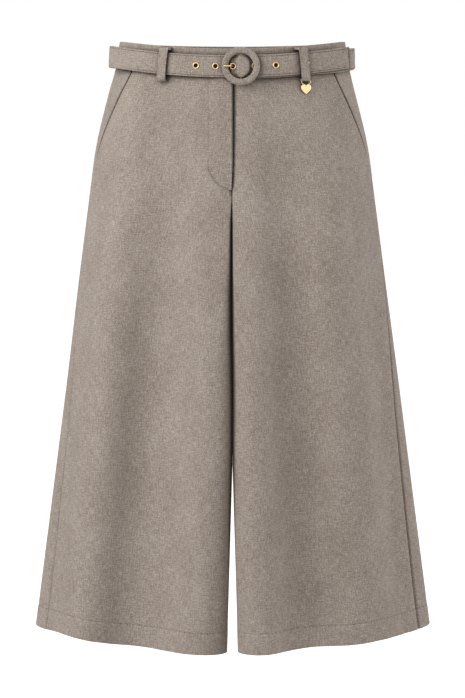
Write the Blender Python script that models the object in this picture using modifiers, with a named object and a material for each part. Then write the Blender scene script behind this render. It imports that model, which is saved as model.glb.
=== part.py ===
"""Belted wide-leg culottes, standing filled out as they hang when worn.

Metres, +Z up. The front faces -Y and the wearer's left is +X. The origin is the
centre of the waist opening, level with the waistband's top edge at the side seams.

The cloth is described by horizontal half sections. A place on it is given by its
depth below the waist and by its girth, the length along the section from the outermost
point of the side: negative round the front, positive round the back.
"""

import math
from functools import lru_cache
from typing import NamedTuple

import bmesh
import bpy
import numpy as np
from mathutils import Matrix, Vector

# Driving dimensions ------------------------------------------------------------------
LENGTH = 0.7112
WAIST_HALF = 0.1336
HEM_HALF = 0.2404
FLARE = 0.1332              # half width gained per metre of depth below the hip
HIP_DEPTH = 0.140
CLOTH = 0.0015
SEAM = 0.0003
SEAM_STRIP = 0.0025         # first column beside a side seam, so that the edges face squarely
WAIST_ROUNDNESS = 2.1
HEM_ROUNDNESS = 1.5
SIDE_SOFTENING = 0.010      # length over which the side of a section is rounded off
SEAM_FORWARD = 0.025        # how far the side seam has swung to the front at the hem

WAIST_DIP_FRONT = 0.0112
WAIST_DIP_BACK = 0.0016
DIP_FADES_BY = 0.150
HEM_RISE = 0.0115           # the hem is this much higher at the side than in front
FOLD_FIRST = 0.150          # fold ridge and pitch, as shares of the half width
FOLD_PITCH = 0.580

NOTCH_DEPTH = 0.171         # where the front and back rise seams start to turn under
CROTCH_DEPTH = 0.265
INSEAM_Y = 0.012
CENTRE_GAP = 0.00025
LEGS_PART = 0.490
LEGS_SPREAD = 0.0290        # half gap gained per metre of depth below LEGS_PART

BAND_DEEP = 0.0305
BAND_THICK = 0.0024
HEM_DEEP = 0.025
HEM_THICK = 0.0012
LAYER_GAP = 0.0004

POCKET_TOP_OPEN = 0.058     # girth left open at the pocket's top
POCKET_END = 0.165
POCKET_CURVE = 0.70         # under 1 bows the slant edge forwards
FACING_BACK = 0.0030        # pocket facing's set-back behind the front
FACING_THICK = 0.0012
FACING_UNDER = 0.014        # how far it runs on under the slant edge
FACING_PAST_SEAM = 0.005
FACING_BELOW = 0.010

FLY_WIDE = 0.0290
FLY_END = 0.1715
FLY_BEND = 0.032            # height of the J's curved end
FLY_THICK = 0.0010
FLY_SHORT = 0.0012          # the flap's free edge stops this far from the centre

BELT_WIDE = 0.0254
BELT_THICK = 0.0024
BELT_SIDE = 0.1445
BELT_FRONT = 0.0940
BELT_BACK = 0.1008
BELT_LEVEL = 0.0172         # depth of the belt's middle at the sides
BELT_DIP_FRONT = 0.0133
BELT_LAYER = 0.0029         # from one layer's middle to the next
BELT_CLIMB = (-0.014, 0.001)    # x over which the tip climbs onto the strap's fixed end
BELT_DROP_AT = (0.090, 0.135, 0.165, 0.270)     # arc lengths, and how much lower the strap
BELT_DROP = (0.0014, 0.0030, 0.0030, 0.0)       # hangs there, where its tip lies over it
BELT_FIXED_PAST_BAR = 0.0030
BELT_TIP_X = 0.1333
BELT_TIP_SLANT = 0.0040         # the tip's lower corner runs this much further
BELT_BUMP = 0.0032          # rise of the strap over the buckle's bar
BELT_BUMP_HALF = 0.0056

EYELET_X = (-0.0417, -0.0193, 0.0005, 0.0247, 0.0498, 0.0858)
EYELET_HOLE = 0.00225
EYELET_BARREL = 0.00265
EYELET_FLANGE = 0.0041
EYELET_CUT = 0.0030
EYELET_PROUD = 0.0010       # the flange's rise over the strap

BUCKLE_X = 0.0096
BUCKLE_DOWN = 0.0305
BUCKLE_OUTER = 0.0218
BUCKLE_INNER = 0.0143
BUCKLE_THICK = 0.0045
BUCKLE_BACK_Y = -0.0986
BAR_RADIUS = 0.0012
PRONG_RADIUS = 0.00085
PRONG_ROOT_Y = -0.0942
PRONG_PATH = (              # (to the right of its eyelet, share of the rise to the ring's face)
    (0.0022, 0.0), (0.0010, 0.12), (0.0, 0.30), (-0.0011, 0.56), (-0.0026, 0.88), (-0.0044, 1.0),
    (-0.0098, 0.99),
)

LOOP_WIDE = 0.010
LOOP_THICK = 0.0012
LOOP_BOTTOM = 0.0461
LOOP_FRONT_X = (0.0820, 0.0795)     # the wearer's left and right
LOOP_SIDE_SHARE = 0.36      # share of the waist from the centre front to a side-back loop
LOOP_SLANT = (0.0052, -0.0040)      # lean across the front from top to bottom
LOOP_TOP = 0.0012           # start of a loop below the waistband's edge
LOOP_FOLD = 0.0010          # size of the turns where a loop folds over the belt
LOOP_BACK_BELOW = 0.0095    # a back loop's end below the waistband

WIRE_RADIUS = 0.00045
HEART_WIDE = 0.0124
HEART_TALL = 0.0118
HEART_THICK = 0.0014
HEART_DROP = 0.0088         # from the bail's bar to the top of the heart's lobes
BAIL_HALF = 0.0059
BAIL_BEND = 0.0006
BAIL_STRAIGHT = 0.0042      # drop of the bail's arms before they slope to the lobes
BAIL_IN_HEART = 0.0012
BAIL_BEHIND_LOOP = 0.0032   # from the loop's lower end to the bar, towards the belt
LOBE_SHARE = 0.46           # place of a lobe's top, as a share of the heart's half width


class Face(NamedTuple):
    """The sizes in which the front and the back of a section differ."""

    sign: int
    waist_reach: float
    full_reach: float
    full_depth: float
    corner_wide: tuple
    corner_deep: float
    fold: float
    fold_shift: float


FRONT = Face(-1, 0.0900, 0.1200, 0.30, (0.010, 0.040), 0.0130, 0.0090, 0.0)
BACK = Face(1, 0.0950, 0.1300, 0.20, (0.014, 0.044), 0.0150, 0.0070, 0.03)

FACE_COLUMNS = 12
CORNER_COLUMNS = 3
WALL_COLUMNS = 4
BAND_COLUMNS = 11
NOTCH_ROWS = 7
BAND_ROWS = 4
FACING_ROWS = 9
FACING_COLUMNS = 8
FLY_ROWS = 6
FLY_COLUMNS = 5
FLY_BEND_ANGLES = (20.0, 40.0, 60.0, 78.0)
BELT_STEPS = (76, 31, 15)   # round the waist, over the bar, and on to the tip
BELT_OVER_BAR = (-0.020, 0.030)
RING_STEPS = 1440
EYELET_SIDES = 14
TOP_ROWS = (BAND_DEEP + SEAM, 0.055, 0.080, 0.105, 0.130, 0.150, 0.160, POCKET_END)
LEG_ROWS = (0.310, 0.360, 0.410, 0.460, 0.505, 0.550, 0.595, 0.640, LENGTH - HEM_DEEP, LENGTH)
FACE_SAMPLES = 600

CLOTH_COLOUR = (0.315, 0.262, 0.222, 1.0)
BRASS_COLOUR = (0.720, 0.480, 0.180, 1.0)
GOLD_COLOUR = (0.840, 0.680, 0.360, 1.0)


# Scene helpers -------------------------------------------------------------------------
def clear_scene():
    """Remove every object, so that the part starts from an empty scene."""
    for item in list(bpy.data.objects):
        bpy.data.objects.remove(item, do_unlink=True)


def new_collection(name):
    """Make a collection under the scene and return it."""
    group = bpy.data.collections.new(name)
    bpy.context.scene.collection.children.link(group)
    return group


def new_material(name, colour, roughness, metallic):
    """Make a Principled material of one colour."""
    material = bpy.data.materials.new(name)
    material.use_nodes = True
    shader = material.node_tree.nodes["Principled BSDF"]
    shader.inputs["Base Color"].default_value = colour
    shader.inputs["Roughness"].default_value = roughness
    shader.inputs["Metallic"].default_value = metallic
    return material


def place(name, mesh, material, group):
    """Link a mesh as a named object, shaded smooth but for its sharp edges."""
    item = bpy.data.objects.new(name, mesh)
    mesh.materials.clear()
    mesh.materials.append(material)
    mesh.shade_smooth()
    mesh.set_sharp_from_angle(angle=math.radians(35))
    group.objects.link(item)
    return item


def take_primitive(name, material, group):
    """Name the primitive just added and move it into the part's collection."""
    item = bpy.context.object
    for owner in list(item.users_collection):
        owner.objects.unlink(item)
    item.name = name
    mesh = item.data
    mesh.name = name
    mesh.materials.append(material)
    mesh.shade_smooth()
    mesh.set_sharp_from_angle(angle=math.radians(35))
    group.objects.link(item)
    return item


def mesh_from_curve(name, curve):
    """Turn a curve's evaluated form into a welded mesh and drop the curve."""
    holder = bpy.data.objects.new(name, curve)
    bpy.context.scene.collection.objects.link(holder)
    shape = holder.evaluated_get(bpy.context.evaluated_depsgraph_get())
    mesh = bpy.data.meshes.new_from_object(shape)
    bpy.data.objects.remove(holder)
    work = bmesh.new()
    work.from_mesh(mesh)
    bmesh.ops.remove_doubles(work, verts=work.verts, dist=1e-6)
    bmesh.ops.recalc_face_normals(work, faces=work.faces)
    work.to_mesh(mesh)
    work.free()
    mesh.name = name
    return mesh


def wire_mesh(name, points, radius):
    """A round wire with closed ends along a list of points."""
    curve = bpy.data.curves.new(name, "CURVE")
    curve.dimensions = "3D"
    curve.bevel_depth = radius
    curve.bevel_resolution = 2
    curve.use_fill_caps = True
    spline = curve.splines.new("POLY")
    spline.points.add(len(points) - 1)
    for slot, point in zip(spline.points, points):
        slot.co = (*point, 1.0)
    return mesh_from_curve(name, curve)


def grid_mesh(name, rows, flipped=False, closed=False, lift=0.0):
    """A sheet through rows of points, moved out by lift; points that meet are merged."""
    work = bmesh.new()
    verts = [[work.verts.new(point) for point in row] for row in rows]
    count = len(rows[0])
    for upper, lower in zip(verts, verts[1:]):
        for i in range(count if closed else count - 1):
            j = (i + 1) % count
            corners = (upper[i], lower[i], lower[j], upper[j])
            work.faces.new(tuple(reversed(corners)) if flipped else corners)
    bmesh.ops.remove_doubles(work, verts=work.verts, dist=1e-5)
    if lift:
        work.normal_update()
        shifts = [vert.normal * lift * vert.calc_shell_factor() for vert in work.verts]
        for vert, shift in zip(work.verts, shifts):
            vert.co += shift
    mesh = bpy.data.meshes.new(name)
    work.to_mesh(mesh)
    work.free()
    return mesh


def thicken(item, thickness, offset=-1.0):
    """Give a sheet its wall, inwards from its outer points unless told otherwise."""
    wall = item.modifiers.new("wall", "SOLIDIFY")
    wall.thickness = thickness
    wall.offset = offset
    wall.use_even_offset = True
    return item


# The form of the cloth -------------------------------------------------------------------
def blend(start, end, value):
    """A smooth step from 0 at start to 1 at end."""
    share = np.clip((value - start) / (end - start), 0.0, 1.0)
    return share * share * (3.0 - 2.0 * share)


def side_half(depth):
    """Half width of the garment."""
    line = HEM_HALF - FLARE * (LENGTH - depth)
    hip_spring = HEM_HALF - FLARE * LENGTH - WAIST_HALF
    return line - hip_spring * (1.0 - blend(0.0, HIP_DEPTH, depth))


def face_reach(face, depth):
    """How far the front or back stands from the side's plane."""
    return face.waist_reach + (face.full_reach - face.waist_reach) * blend(0.0, face.full_depth, depth)


def roundness(depth):
    """Exponent of the section: over 2 is squarer, under 2 more pointed."""
    return WAIST_ROUNDNESS + (HEM_ROUNDNESS - WAIST_ROUNDNESS) * blend(0.08, LENGTH, depth)


def leg_gap(depth):
    """Distance of a leg's inner wall from the centre plane."""
    return CENTRE_GAP + LEGS_SPREAD * max(depth - LEGS_PART, 0.0)


def fold_height(face, depth, share):
    """Soft fold ridges and troughs that grow from the hip to the hem."""
    growth = blend(0.04, 0.60, depth) ** 0.6
    wave = np.cos(2.0 * math.pi * (share - FOLD_FIRST - face.fold_shift) / FOLD_PITCH)
    return face.fold * growth * wave * (1.0 - blend(0.75, 1.0, share))


def seam_inset(face, centre_reach, depth):
    """How far the rise seam has turned under between the legs."""
    full = centre_reach - face.sign * INSEAM_Y
    share = min(max((depth - NOTCH_DEPTH) / (CROTCH_DEPTH - NOTCH_DEPTH), 0.0), 1.0)
    return full * (1.0 - math.sqrt(1.0 - share * share))


def face_curve(face, depth):
    """One face of a half section from the side to its inner seam.

    Returns the points and the indices where the rounded corner and the inner wall start.
    """
    wide = side_half(depth)
    gap = leg_gap(depth)
    angle = np.linspace(math.pi / 2, 0.0, FACE_SAMPLES)
    share = np.sin(angle) ** (2.0 / roundness(depth))
    reach = face_reach(face, depth) * np.cos(angle) ** (2.0 / roundness(depth))
    across = (wide - gap) * share
    reach = reach + fold_height(face, depth, share)
    inset = seam_inset(face, float(reach[-1]), depth)
    end_reach = reach[-1] - inset
    growth = blend(NOTCH_DEPTH, LENGTH, depth)
    corner_wide = face.corner_wide[0] + (face.corner_wide[1] - face.corner_wide[0]) * growth
    turned = math.sin(math.acos(1.0 - min(inset / face.corner_deep, 1.0)))
    inside = np.clip(turned - across / corner_wide, 0.0, 1.0)
    reach = reach - face.corner_deep * (1.0 - np.sqrt(1.0 - inside * inside))
    corner_at = int(np.searchsorted(-across, -corner_wide * turned))
    x = gap + across
    wall_at = len(x) - 1
    if inset > face.corner_deep:
        wall = np.linspace(reach[-1], end_reach, 40)[1:]
        x = np.concatenate([x, np.full(len(wall), gap)])
        reach = np.concatenate([reach, wall])
    return np.column_stack([x, face.sign * reach]), min(corner_at, wall_at), wall_at


class Section(NamedTuple):
    """A half section: girth, x and y of its points, and girths of its inner landmarks."""

    girth: np.ndarray
    x: np.ndarray
    y: np.ndarray
    front_marks: tuple
    back_marks: tuple


def soften_side(points, side_at, wide):
    """Round off the outermost part of a section and keep its width."""
    length = np.concatenate([[0.0], np.cumsum(np.linalg.norm(np.diff(points, axis=0), axis=1))])
    girth = length - length[side_at]
    step = SIDE_SOFTENING / 10.0
    near = step * np.arange(-120, 121)
    kernel = np.exp(-0.5 * (step * np.arange(-40, 41) / SIDE_SOFTENING) ** 2)
    kernel /= kernel.sum()
    weight = np.exp(-((girth / (3.0 * SIDE_SOFTENING)) ** 4))
    result = points.copy()
    for axis in (0, 1):
        smooth = np.convolve(np.interp(near, girth, points[:, axis]), kernel, mode="same")
        result[:, axis] += weight * (np.interp(girth, near, smooth) - points[:, axis])
    result[:, 0] += weight * (wide - result[side_at, 0])
    return result


@lru_cache(maxsize=None)
def section(depth):
    """The half section of the cloth at a depth."""
    front, front_corner, front_wall = face_curve(FRONT, depth)
    back, back_corner, back_wall = face_curve(BACK, depth)
    side_at = len(front) - 1
    points = soften_side(np.vstack([front[::-1], back[1:]]), side_at, side_half(depth))
    length = np.concatenate([[0.0], np.cumsum(np.linalg.norm(np.diff(points, axis=0), axis=1))])
    girth = length - length[side_at]
    front_marks = tuple(girth[side_at - i] for i in (front_corner, front_wall, len(front) - 1))
    back_marks = tuple(girth[side_at + i] for i in (back_corner, back_wall, len(back) - 1))
    return Section(girth, points[:, 0], points[:, 1], front_marks, back_marks)


def waist_dip(y, front_reach, back_reach):
    """How far the waist line has dropped at y, in front and at the back."""
    if y < 0.0:
        return WAIST_DIP_FRONT * (y / front_reach) ** 2
    return WAIST_DIP_BACK * (y / back_reach) ** 2


def height(depth, x, y):
    """Height of a place of the cloth, with the waist's dip and the hem's rise."""
    dip = waist_dip(y, face_reach(FRONT, depth), face_reach(BACK, depth))
    dip *= 1.0 - blend(0.0, DIP_FADES_BY, depth)
    rise = HEM_RISE * blend(0.45, 1.0, x / side_half(depth)) * (depth / LENGTH) ** 3
    return -depth - dip + rise


def cloth_point(depth, girth, side):
    """A place on the cloth's outer face; side is 1 for the wearer's left, -1 for the right."""
    line = section(round(float(depth), 6))
    x = float(np.interp(girth, line.girth, line.x))
    y = float(np.interp(girth, line.girth, line.y))
    return Vector((side * x, y, height(depth, x, y)))


def girth_at_x(depth, x, face):
    """Girth of the place on a face with this distance from the centre plane."""
    line = section(round(float(depth), 6))
    half = line.girth <= 0.0 if face.sign < 0 else line.girth >= 0.0
    xs, girths = line.x[half], line.girth[half]
    order = np.argsort(xs, kind="stable")
    return float(np.interp(x, xs[order], girths[order]))


# Panels ------------------------------------------------------------------------------------
def side_seam(depth):
    """Girth of the side seam, which swings forward towards the hem."""
    return -SEAM_FORWARD * blend(0.05, LENGTH, depth) - 0.0010


def pocket_open(depth):
    """Girth left open between the side seam and the slant pocket's edge."""
    share = (POCKET_END - depth) / (POCKET_END - BAND_DEEP)
    return POCKET_TOP_OPEN * max(share, 0.0) ** POCKET_CURVE


def panel_girths(face, depth):
    """Girths of a panel's columns at a depth, from the side seam to the inner seam."""
    line = section(round(float(depth), 6))
    corner, wall, end = line.front_marks if face.sign < 0 else line.back_marks
    start = side_seam(depth) + face.sign * SEAM / 2
    if face.sign < 0:
        start -= pocket_open(depth)
    if depth >= CROTCH_DEPTH:
        end -= face.sign * SEAM / 2
    strip = start + face.sign * SEAM_STRIP
    return np.concatenate([
        [start],
        np.linspace(strip, corner, FACE_COLUMNS + 1),
        np.linspace(corner, wall, CORNER_COLUMNS + 1)[1:],
        np.linspace(wall, end, WALL_COLUMNS + 1)[1:],
    ])


def panel_rows():
    """Depths of a panel's rows; those between notch and crotch follow the rise seam."""
    angles = [math.pi / 2 * i / NOTCH_ROWS for i in range(NOTCH_ROWS + 1)]
    notch = [NOTCH_DEPTH + (CROTCH_DEPTH - NOTCH_DEPTH) * math.sin(a) for a in angles]
    return list(TOP_ROWS) + notch + list(LEG_ROWS)


def build_panel(name, face, side, material, group):
    """One leg's front or back, from the waistband to the hem."""
    rows = [[cloth_point(depth, girth, side) for girth in panel_girths(face, depth)]
            for depth in panel_rows()]
    mesh = grid_mesh(name, rows, flipped=(face.sign < 0) == (side > 0))
    return thicken(place(name, mesh, material, group), CLOTH)


def build_hem(name, side, material, group):
    """The turned-up hem: a ring of cloth inside the leg, made from the panels' columns."""
    rows = []
    for depth in (LENGTH - HEM_DEEP, LENGTH - 2.0 * SEAM):
        girths = list(panel_girths(FRONT, depth)[::-1]) + list(panel_girths(BACK, depth)[1:-1])
        rows.append([cloth_point(depth, girth, side) for girth in girths])
    mesh = grid_mesh(name, rows, flipped=side < 0, closed=True, lift=-CLOTH - LAYER_GAP)
    return thicken(place(name, mesh, material, group), HEM_THICK)


def build_band(name, places, material, group):
    """A stretch of the waistband through places given as (girth, side) pairs."""
    rows = [[cloth_point(depth, girth, side) for girth, side in places]
            for depth in np.linspace(0.0, BAND_DEEP, BAND_ROWS)]
    return thicken(place(name, grid_mesh(name, rows), material, group), BAND_THICK)


def build_waistband(material, group):
    """The waistband: two fronts that meet at the centre, and a back."""
    line = section(0.0)
    front, back = [
        [side_seam(0.0) + sign * SEAM / 2]
        + list(np.linspace(side_seam(0.0) + sign * (SEAM / 2 + SEAM_STRIP), end, BAND_COLUMNS))
        for sign, end in ((-1, line.front_marks[2]), (1, line.back_marks[2]))
    ]
    front_left = [(girth, 1) for girth in reversed(front)]
    front_right = [(girth, -1) for girth in front]
    whole_back = [(girth, 1) for girth in back] + [(girth, -1) for girth in reversed(back)]
    build_band("waistband_front_left", front_left, material, group)
    build_band("waistband_front_right", front_right, material, group)
    build_band("waistband_back", whole_back, material, group)


def build_pocket_facing(name, side, material, group):
    """The cloth seen in the slant pocket's opening, set back behind the front."""
    rows = []
    for depth in np.linspace(TOP_ROWS[0], POCKET_END + FACING_BELOW, FACING_ROWS):
        start = side_seam(depth) + FACING_PAST_SEAM
        end = side_seam(depth) - pocket_open(depth) - FACING_UNDER
        girths = np.linspace(start, end, FACING_COLUMNS)
        rows.append([cloth_point(depth, girth, side) for girth in girths])
    mesh = grid_mesh(name, rows, flipped=side > 0, lift=-FACING_BACK)
    return thicken(place(name, mesh, material, group), FACING_THICK)


def fly_edge(depth):
    """Distance of the fly's stitched edge from the centre: straight, then a J."""
    share = min(max((depth - FLY_END + FLY_BEND) / FLY_BEND, 0.0), 1.0)
    return FLY_WIDE * math.sqrt(1.0 - share * share)


def build_fly(material, group):
    """The fly flap on the wearer's right front, lying on the panel's points moved out."""
    straight = list(np.linspace(TOP_ROWS[0], FLY_END - FLY_BEND, FLY_ROWS))
    bend = [FLY_END - FLY_BEND * (1.0 - math.sin(math.radians(a))) for a in FLY_BEND_ANGLES]
    rows = []
    for depth in straight + bend:
        row = []
        for share in np.linspace(0.0, 1.0, FLY_COLUMNS):
            x = FLY_SHORT + (fly_edge(depth) - FLY_SHORT) * (1.0 - share)
            girth = girth_at_x(depth, x, FRONT)
            row.append(cloth_point(depth, girth, -1))
        rows.append(row)
    mesh = grid_mesh("fly_flap", rows, lift=LAYER_GAP + FLY_THICK)
    return thicken(place("fly_flap", mesh, material, group), FLY_THICK)


# Belt --------------------------------------------------------------------------------------
@lru_cache(maxsize=None)
def belt_ring():
    """The belt's plan: arc length from the centre front, x and y of a closed curve."""
    angle = np.linspace(0.0, 2.0 * math.pi, RING_STEPS + 1)
    power = 2.0 / WAIST_ROUNDNESS
    sine, cosine = np.sin(angle), np.cos(angle)
    x = BELT_SIDE * np.sign(sine) * np.abs(sine) ** power
    reach = np.where(cosine > 0.0, BELT_FRONT, BELT_BACK)
    y = -reach * np.sign(cosine) * np.abs(cosine) ** power
    steps = np.hypot(np.diff(x), np.diff(y))
    return np.concatenate([[0.0], np.cumsum(steps)]), x, y


def belt_length_round():
    """Length of one turn of the belt."""
    return float(belt_ring()[0][-1])


def belt_at(along):
    """Plan point and outward direction of the belt's inner turn."""
    length, x, y = belt_ring()
    turn = along % length[-1]
    step = 0.002
    ahead, behind = (turn + step) % length[-1], (turn - step) % length[-1]
    point = Vector((np.interp(turn, length, x), np.interp(turn, length, y), 0.0))
    run = Vector((np.interp(ahead, length, x) - np.interp(behind, length, x),
                  np.interp(ahead, length, y) - np.interp(behind, length, y), 0.0)).normalized()
    return point, Vector((run.y, -run.x, 0.0))


def belt_along_x(x):
    """Arc length from the centre front to a place of the front with this x."""
    length, xs, _ = belt_ring()
    quarter = int(len(xs) / 4)
    found = float(np.interp(abs(x), xs[:quarter + 1], length[:quarter + 1]))
    return math.copysign(found, x)


def belt_middle(along):
    """Height of the belt's middle line."""
    point, _ = belt_at(along)
    dip = waist_dip(point.y, BELT_FRONT, BELT_BACK)
    return -BELT_LEVEL - dip * (BELT_DIP_FRONT / WAIST_DIP_FRONT if point.y < 0.0 else 1.0)


def belt_lift(along):
    """How far the strap has risen off the inner turn by the time it is this far along."""
    x = along - belt_length_round()
    bump = BELT_BUMP * (1.0 - blend(0.0, BELT_BUMP_HALF, abs(x - BUCKLE_X)))
    return BELT_LAYER * float(blend(*BELT_CLIMB, x)) + float(bump)


def belt_drop(along):
    """The inner turn hangs a little lower where the tip lies over it."""
    return float(np.interp(along, BELT_DROP_AT, BELT_DROP))


def belt_centre(along):
    """Middle of the strap's thickness and width, and its outward direction."""
    point, outward = belt_at(along)
    centre = point + outward * belt_lift(along)
    centre.z = belt_middle(along) - belt_drop(along)
    return centre, outward


def belt_stations():
    """Places along the strap, closer together where it climbs over the bar."""
    turn = belt_length_round()
    ends = (BUCKLE_X + BELT_FIXED_PAST_BAR, turn + BELT_OVER_BAR[0], turn + BELT_OVER_BAR[1],
            turn + belt_along_x(BELT_TIP_X))
    runs = [np.linspace(start, end, count) for start, end, count in zip(ends, ends[1:], BELT_STEPS)]
    return np.concatenate([runs[0], runs[1][1:], runs[2][1:]])


def eyelet_frame(x):
    """Placement of an eyelet: its Z axis points out of the strap's outer face."""
    along = belt_length_round() + belt_along_x(x)
    centre, outward = belt_centre(along)
    across = Vector((0.0, 0.0, 1.0)).cross(outward).normalized()
    turn = Matrix((across, Vector((0.0, 0.0, 1.0)).normalized(), outward)).transposed().to_4x4()
    return Matrix.Translation(centre) @ turn


def build_belt(material, group, cutters):
    """The strap from the buckle's bar round the waist to its tip, with its holes."""
    rows = [[], [], []]
    stations = belt_stations()
    for along in stations:
        slant = BELT_TIP_SLANT * float(blend(stations[-3], stations[-1], along))
        for row, part in zip(rows, (0.5, 0.0, -0.5)):
            centre, _ = belt_centre(along - slant * part)
            row.append(centre + Vector((0.0, 0.0, BELT_WIDE * part)))
    strap = thicken(place("belt_strap", grid_mesh("belt_strap", rows), material, group), BELT_THICK, 0.0)
    for i, x in enumerate(EYELET_X, 1):
        bpy.ops.mesh.primitive_cylinder_add(
            vertices=EYELET_SIDES, radius=EYELET_CUT, depth=3.0 * BELT_THICK)
        cutter = take_primitive(f"cut_eyelet_{i}", material, cutters)
        cutter.matrix_world = eyelet_frame(x)
        cutter.hide_render = True
        cutter.display_type = "WIRE"
        hole = strap.modifiers.new(f"hole_{i}", "BOOLEAN")
        hole.operation = "DIFFERENCE"
        hole.object = cutter
    return strap


def build_eyelet(name, x, material, group):
    """A rolled brass eyelet: a turned profile of barrel and flange."""
    half = BELT_THICK / 2
    face, rim = half + SEAM, half + EYELET_PROUD
    rolled = rim - face - 0.0002
    profile = (
        (EYELET_FLANGE - rolled, rim), (EYELET_FLANGE, face), (EYELET_BARREL, face),
        (EYELET_BARREL, -half), (EYELET_HOLE, -half), (EYELET_HOLE, rim - rolled),
        (EYELET_HOLE + rolled, rim),
    )
    mesh = bpy.data.meshes.new(name)
    edges = [(i, (i + 1) % len(profile)) for i in range(len(profile))]
    mesh.from_pydata([(radius, 0.0, level) for radius, level in profile], edges, [])
    item = place(name, mesh, material, group)
    item.matrix_world = eyelet_frame(x)
    turn = item.modifiers.new("turn", "SCREW")
    turn.steps = turn.render_steps = EYELET_SIDES
    turn.use_merge_vertices = True
    turn.merge_threshold = 0.00001
    return item


def build_buckle(cloth, brass, group):
    """The cloth-covered ring, the bar across its back, and the prong."""
    middle = (BUCKLE_OUTER + BUCKLE_INNER) / 2
    limb = (BUCKLE_OUTER - BUCKLE_INNER) / 2
    centre = Vector((BUCKLE_X, BUCKLE_BACK_Y - BUCKLE_THICK / 2, -BUCKLE_DOWN))
    bpy.ops.mesh.primitive_torus_add(
        major_segments=32, minor_segments=8, major_radius=middle, minor_radius=limb)
    ring = take_primitive("buckle_ring", cloth, group)
    ring.data.transform(Matrix.Diagonal((1.0, 1.0, BUCKLE_THICK / 2 / limb, 1.0)))
    ring.location = centre
    ring.rotation_euler = (math.pi / 2, 0.0, 0.0)

    bar_y = BUCKLE_BACK_Y + SEAM + BAR_RADIUS
    bpy.ops.mesh.primitive_cylinder_add(vertices=12, radius=BAR_RADIUS, depth=2.0 * middle)
    bar = take_primitive("buckle_bar", brass, group)
    bar.location = (BUCKLE_X, bar_y, -BUCKLE_DOWN)

    rise = BUCKLE_BACK_Y - BUCKLE_THICK - SEAM - PRONG_RADIUS - PRONG_ROOT_Y
    points = [(BUCKLE_X, PRONG_ROOT_Y, -BUCKLE_DOWN)]
    points += [(EYELET_X[2] + aside, PRONG_ROOT_Y + rise * share, -BUCKLE_DOWN)
               for aside, share in PRONG_PATH]
    place("buckle_prong", wire_mesh("buckle_prong", points, PRONG_RADIUS), brass, group)


# Belt loops and charm -------------------------------------------------------------------------
def cloth_reach(depth, origin, outward):
    """How far out the cloth's outer face lies from origin along a level direction."""
    line = section(round(float(depth), 6))
    side = 1.0 if origin.x >= 0.0 else -1.0
    across = Vector((-outward.y, outward.x, 0.0))
    dx, dy = side * line.x - origin.x, line.y - origin.y
    sideways = dx * across.x + dy * across.y
    outwards = dx * outward.x + dy * outward.y
    outwards = np.where(np.abs(sideways) < 0.02, outwards, -1.0)
    near = np.argsort(np.where(outwards > -0.03, np.abs(sideways), 1.0))[:2]
    return float(np.mean(outwards[near]))


def loop_path(along, layers):
    """Profile of a belt loop in (out from the belt's inner turn, height) pairs."""
    point, outward = belt_at(along)
    seat = LAYER_GAP + LOOP_THICK / 2
    dip = waist_dip(point.y, BELT_FRONT, BELT_BACK)
    top = -dip - LOOP_TOP
    outer = BELT_THICK / 2 + seat
    if layers > 1:
        outer += BELT_LAYER + EYELET_PROUD
    band_top = belt_middle(along) + BELT_WIDE / 2
    band_bottom = band_top - BELT_WIDE
    bottom = -LOOP_BOTTOM if point.y < 0.0 else -BAND_DEEP - LOOP_BACK_BELOW - dip
    path = [
        (cloth_reach(LOOP_TOP, point, outward) + seat, top),
        (outer - LOOP_FOLD, top - 0.6 * LOOP_FOLD),
        (outer, top - 1.8 * LOOP_FOLD),
        (outer, (top + band_bottom) / 2),
        (outer, band_bottom),
        (outer - 0.8 * LOOP_FOLD, band_bottom - 1.6 * LOOP_FOLD),
        (cloth_reach(-bottom - dip, point, outward) + seat + SEAM, bottom),
    ]
    return point, outward, path


def loop_place(point, outward, path, out, level, slant):
    """Place on a loop's middle line, and the direction across the loop."""
    across = Vector((0.0, 0.0, 1.0)).cross(outward).normalized()
    top, bottom = path[0][1], path[-1][1]
    base = point + outward * out + across * slant * ((top - level) / (top - bottom) - 0.5)
    return Vector((base.x, base.y, level)), across


def build_loop(name, along, layers, slant, material, group):
    """One belt loop: a narrow strip over the belt, sewn above and below it."""
    point, outward, path = loop_path(along, layers)
    rows = []
    for out, level in path:
        middle, across = loop_place(point, outward, path, out, level, slant)
        rows.append([middle + across * (LOOP_WIDE * part) for part in (-0.5, 0.0, 0.5)])
    mesh = grid_mesh(name, rows)
    return thicken(place(name, mesh, material, group), LOOP_THICK, 0.0)


def charm_frame(along, layers, slant):
    """Centre of the bail's bar, the bar's direction and the way out, from the loop's profile."""
    point, outward, path = loop_path(along, layers)
    (out_a, level_a), (out_b, level_b) = path[-2], path[-1]
    out = out_b + BAIL_BEHIND_LOOP
    slope = (level_a - level_b) / (out_a - out_b)
    clear = (LOOP_THICK / 2 + SEAM + WIRE_RADIUS) * math.sqrt(1.0 + slope * slope)
    level = level_b + (out - out_b) * slope + clear
    centre, across = loop_place(point, outward, path, out, level, slant)
    return centre, across, outward


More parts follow.
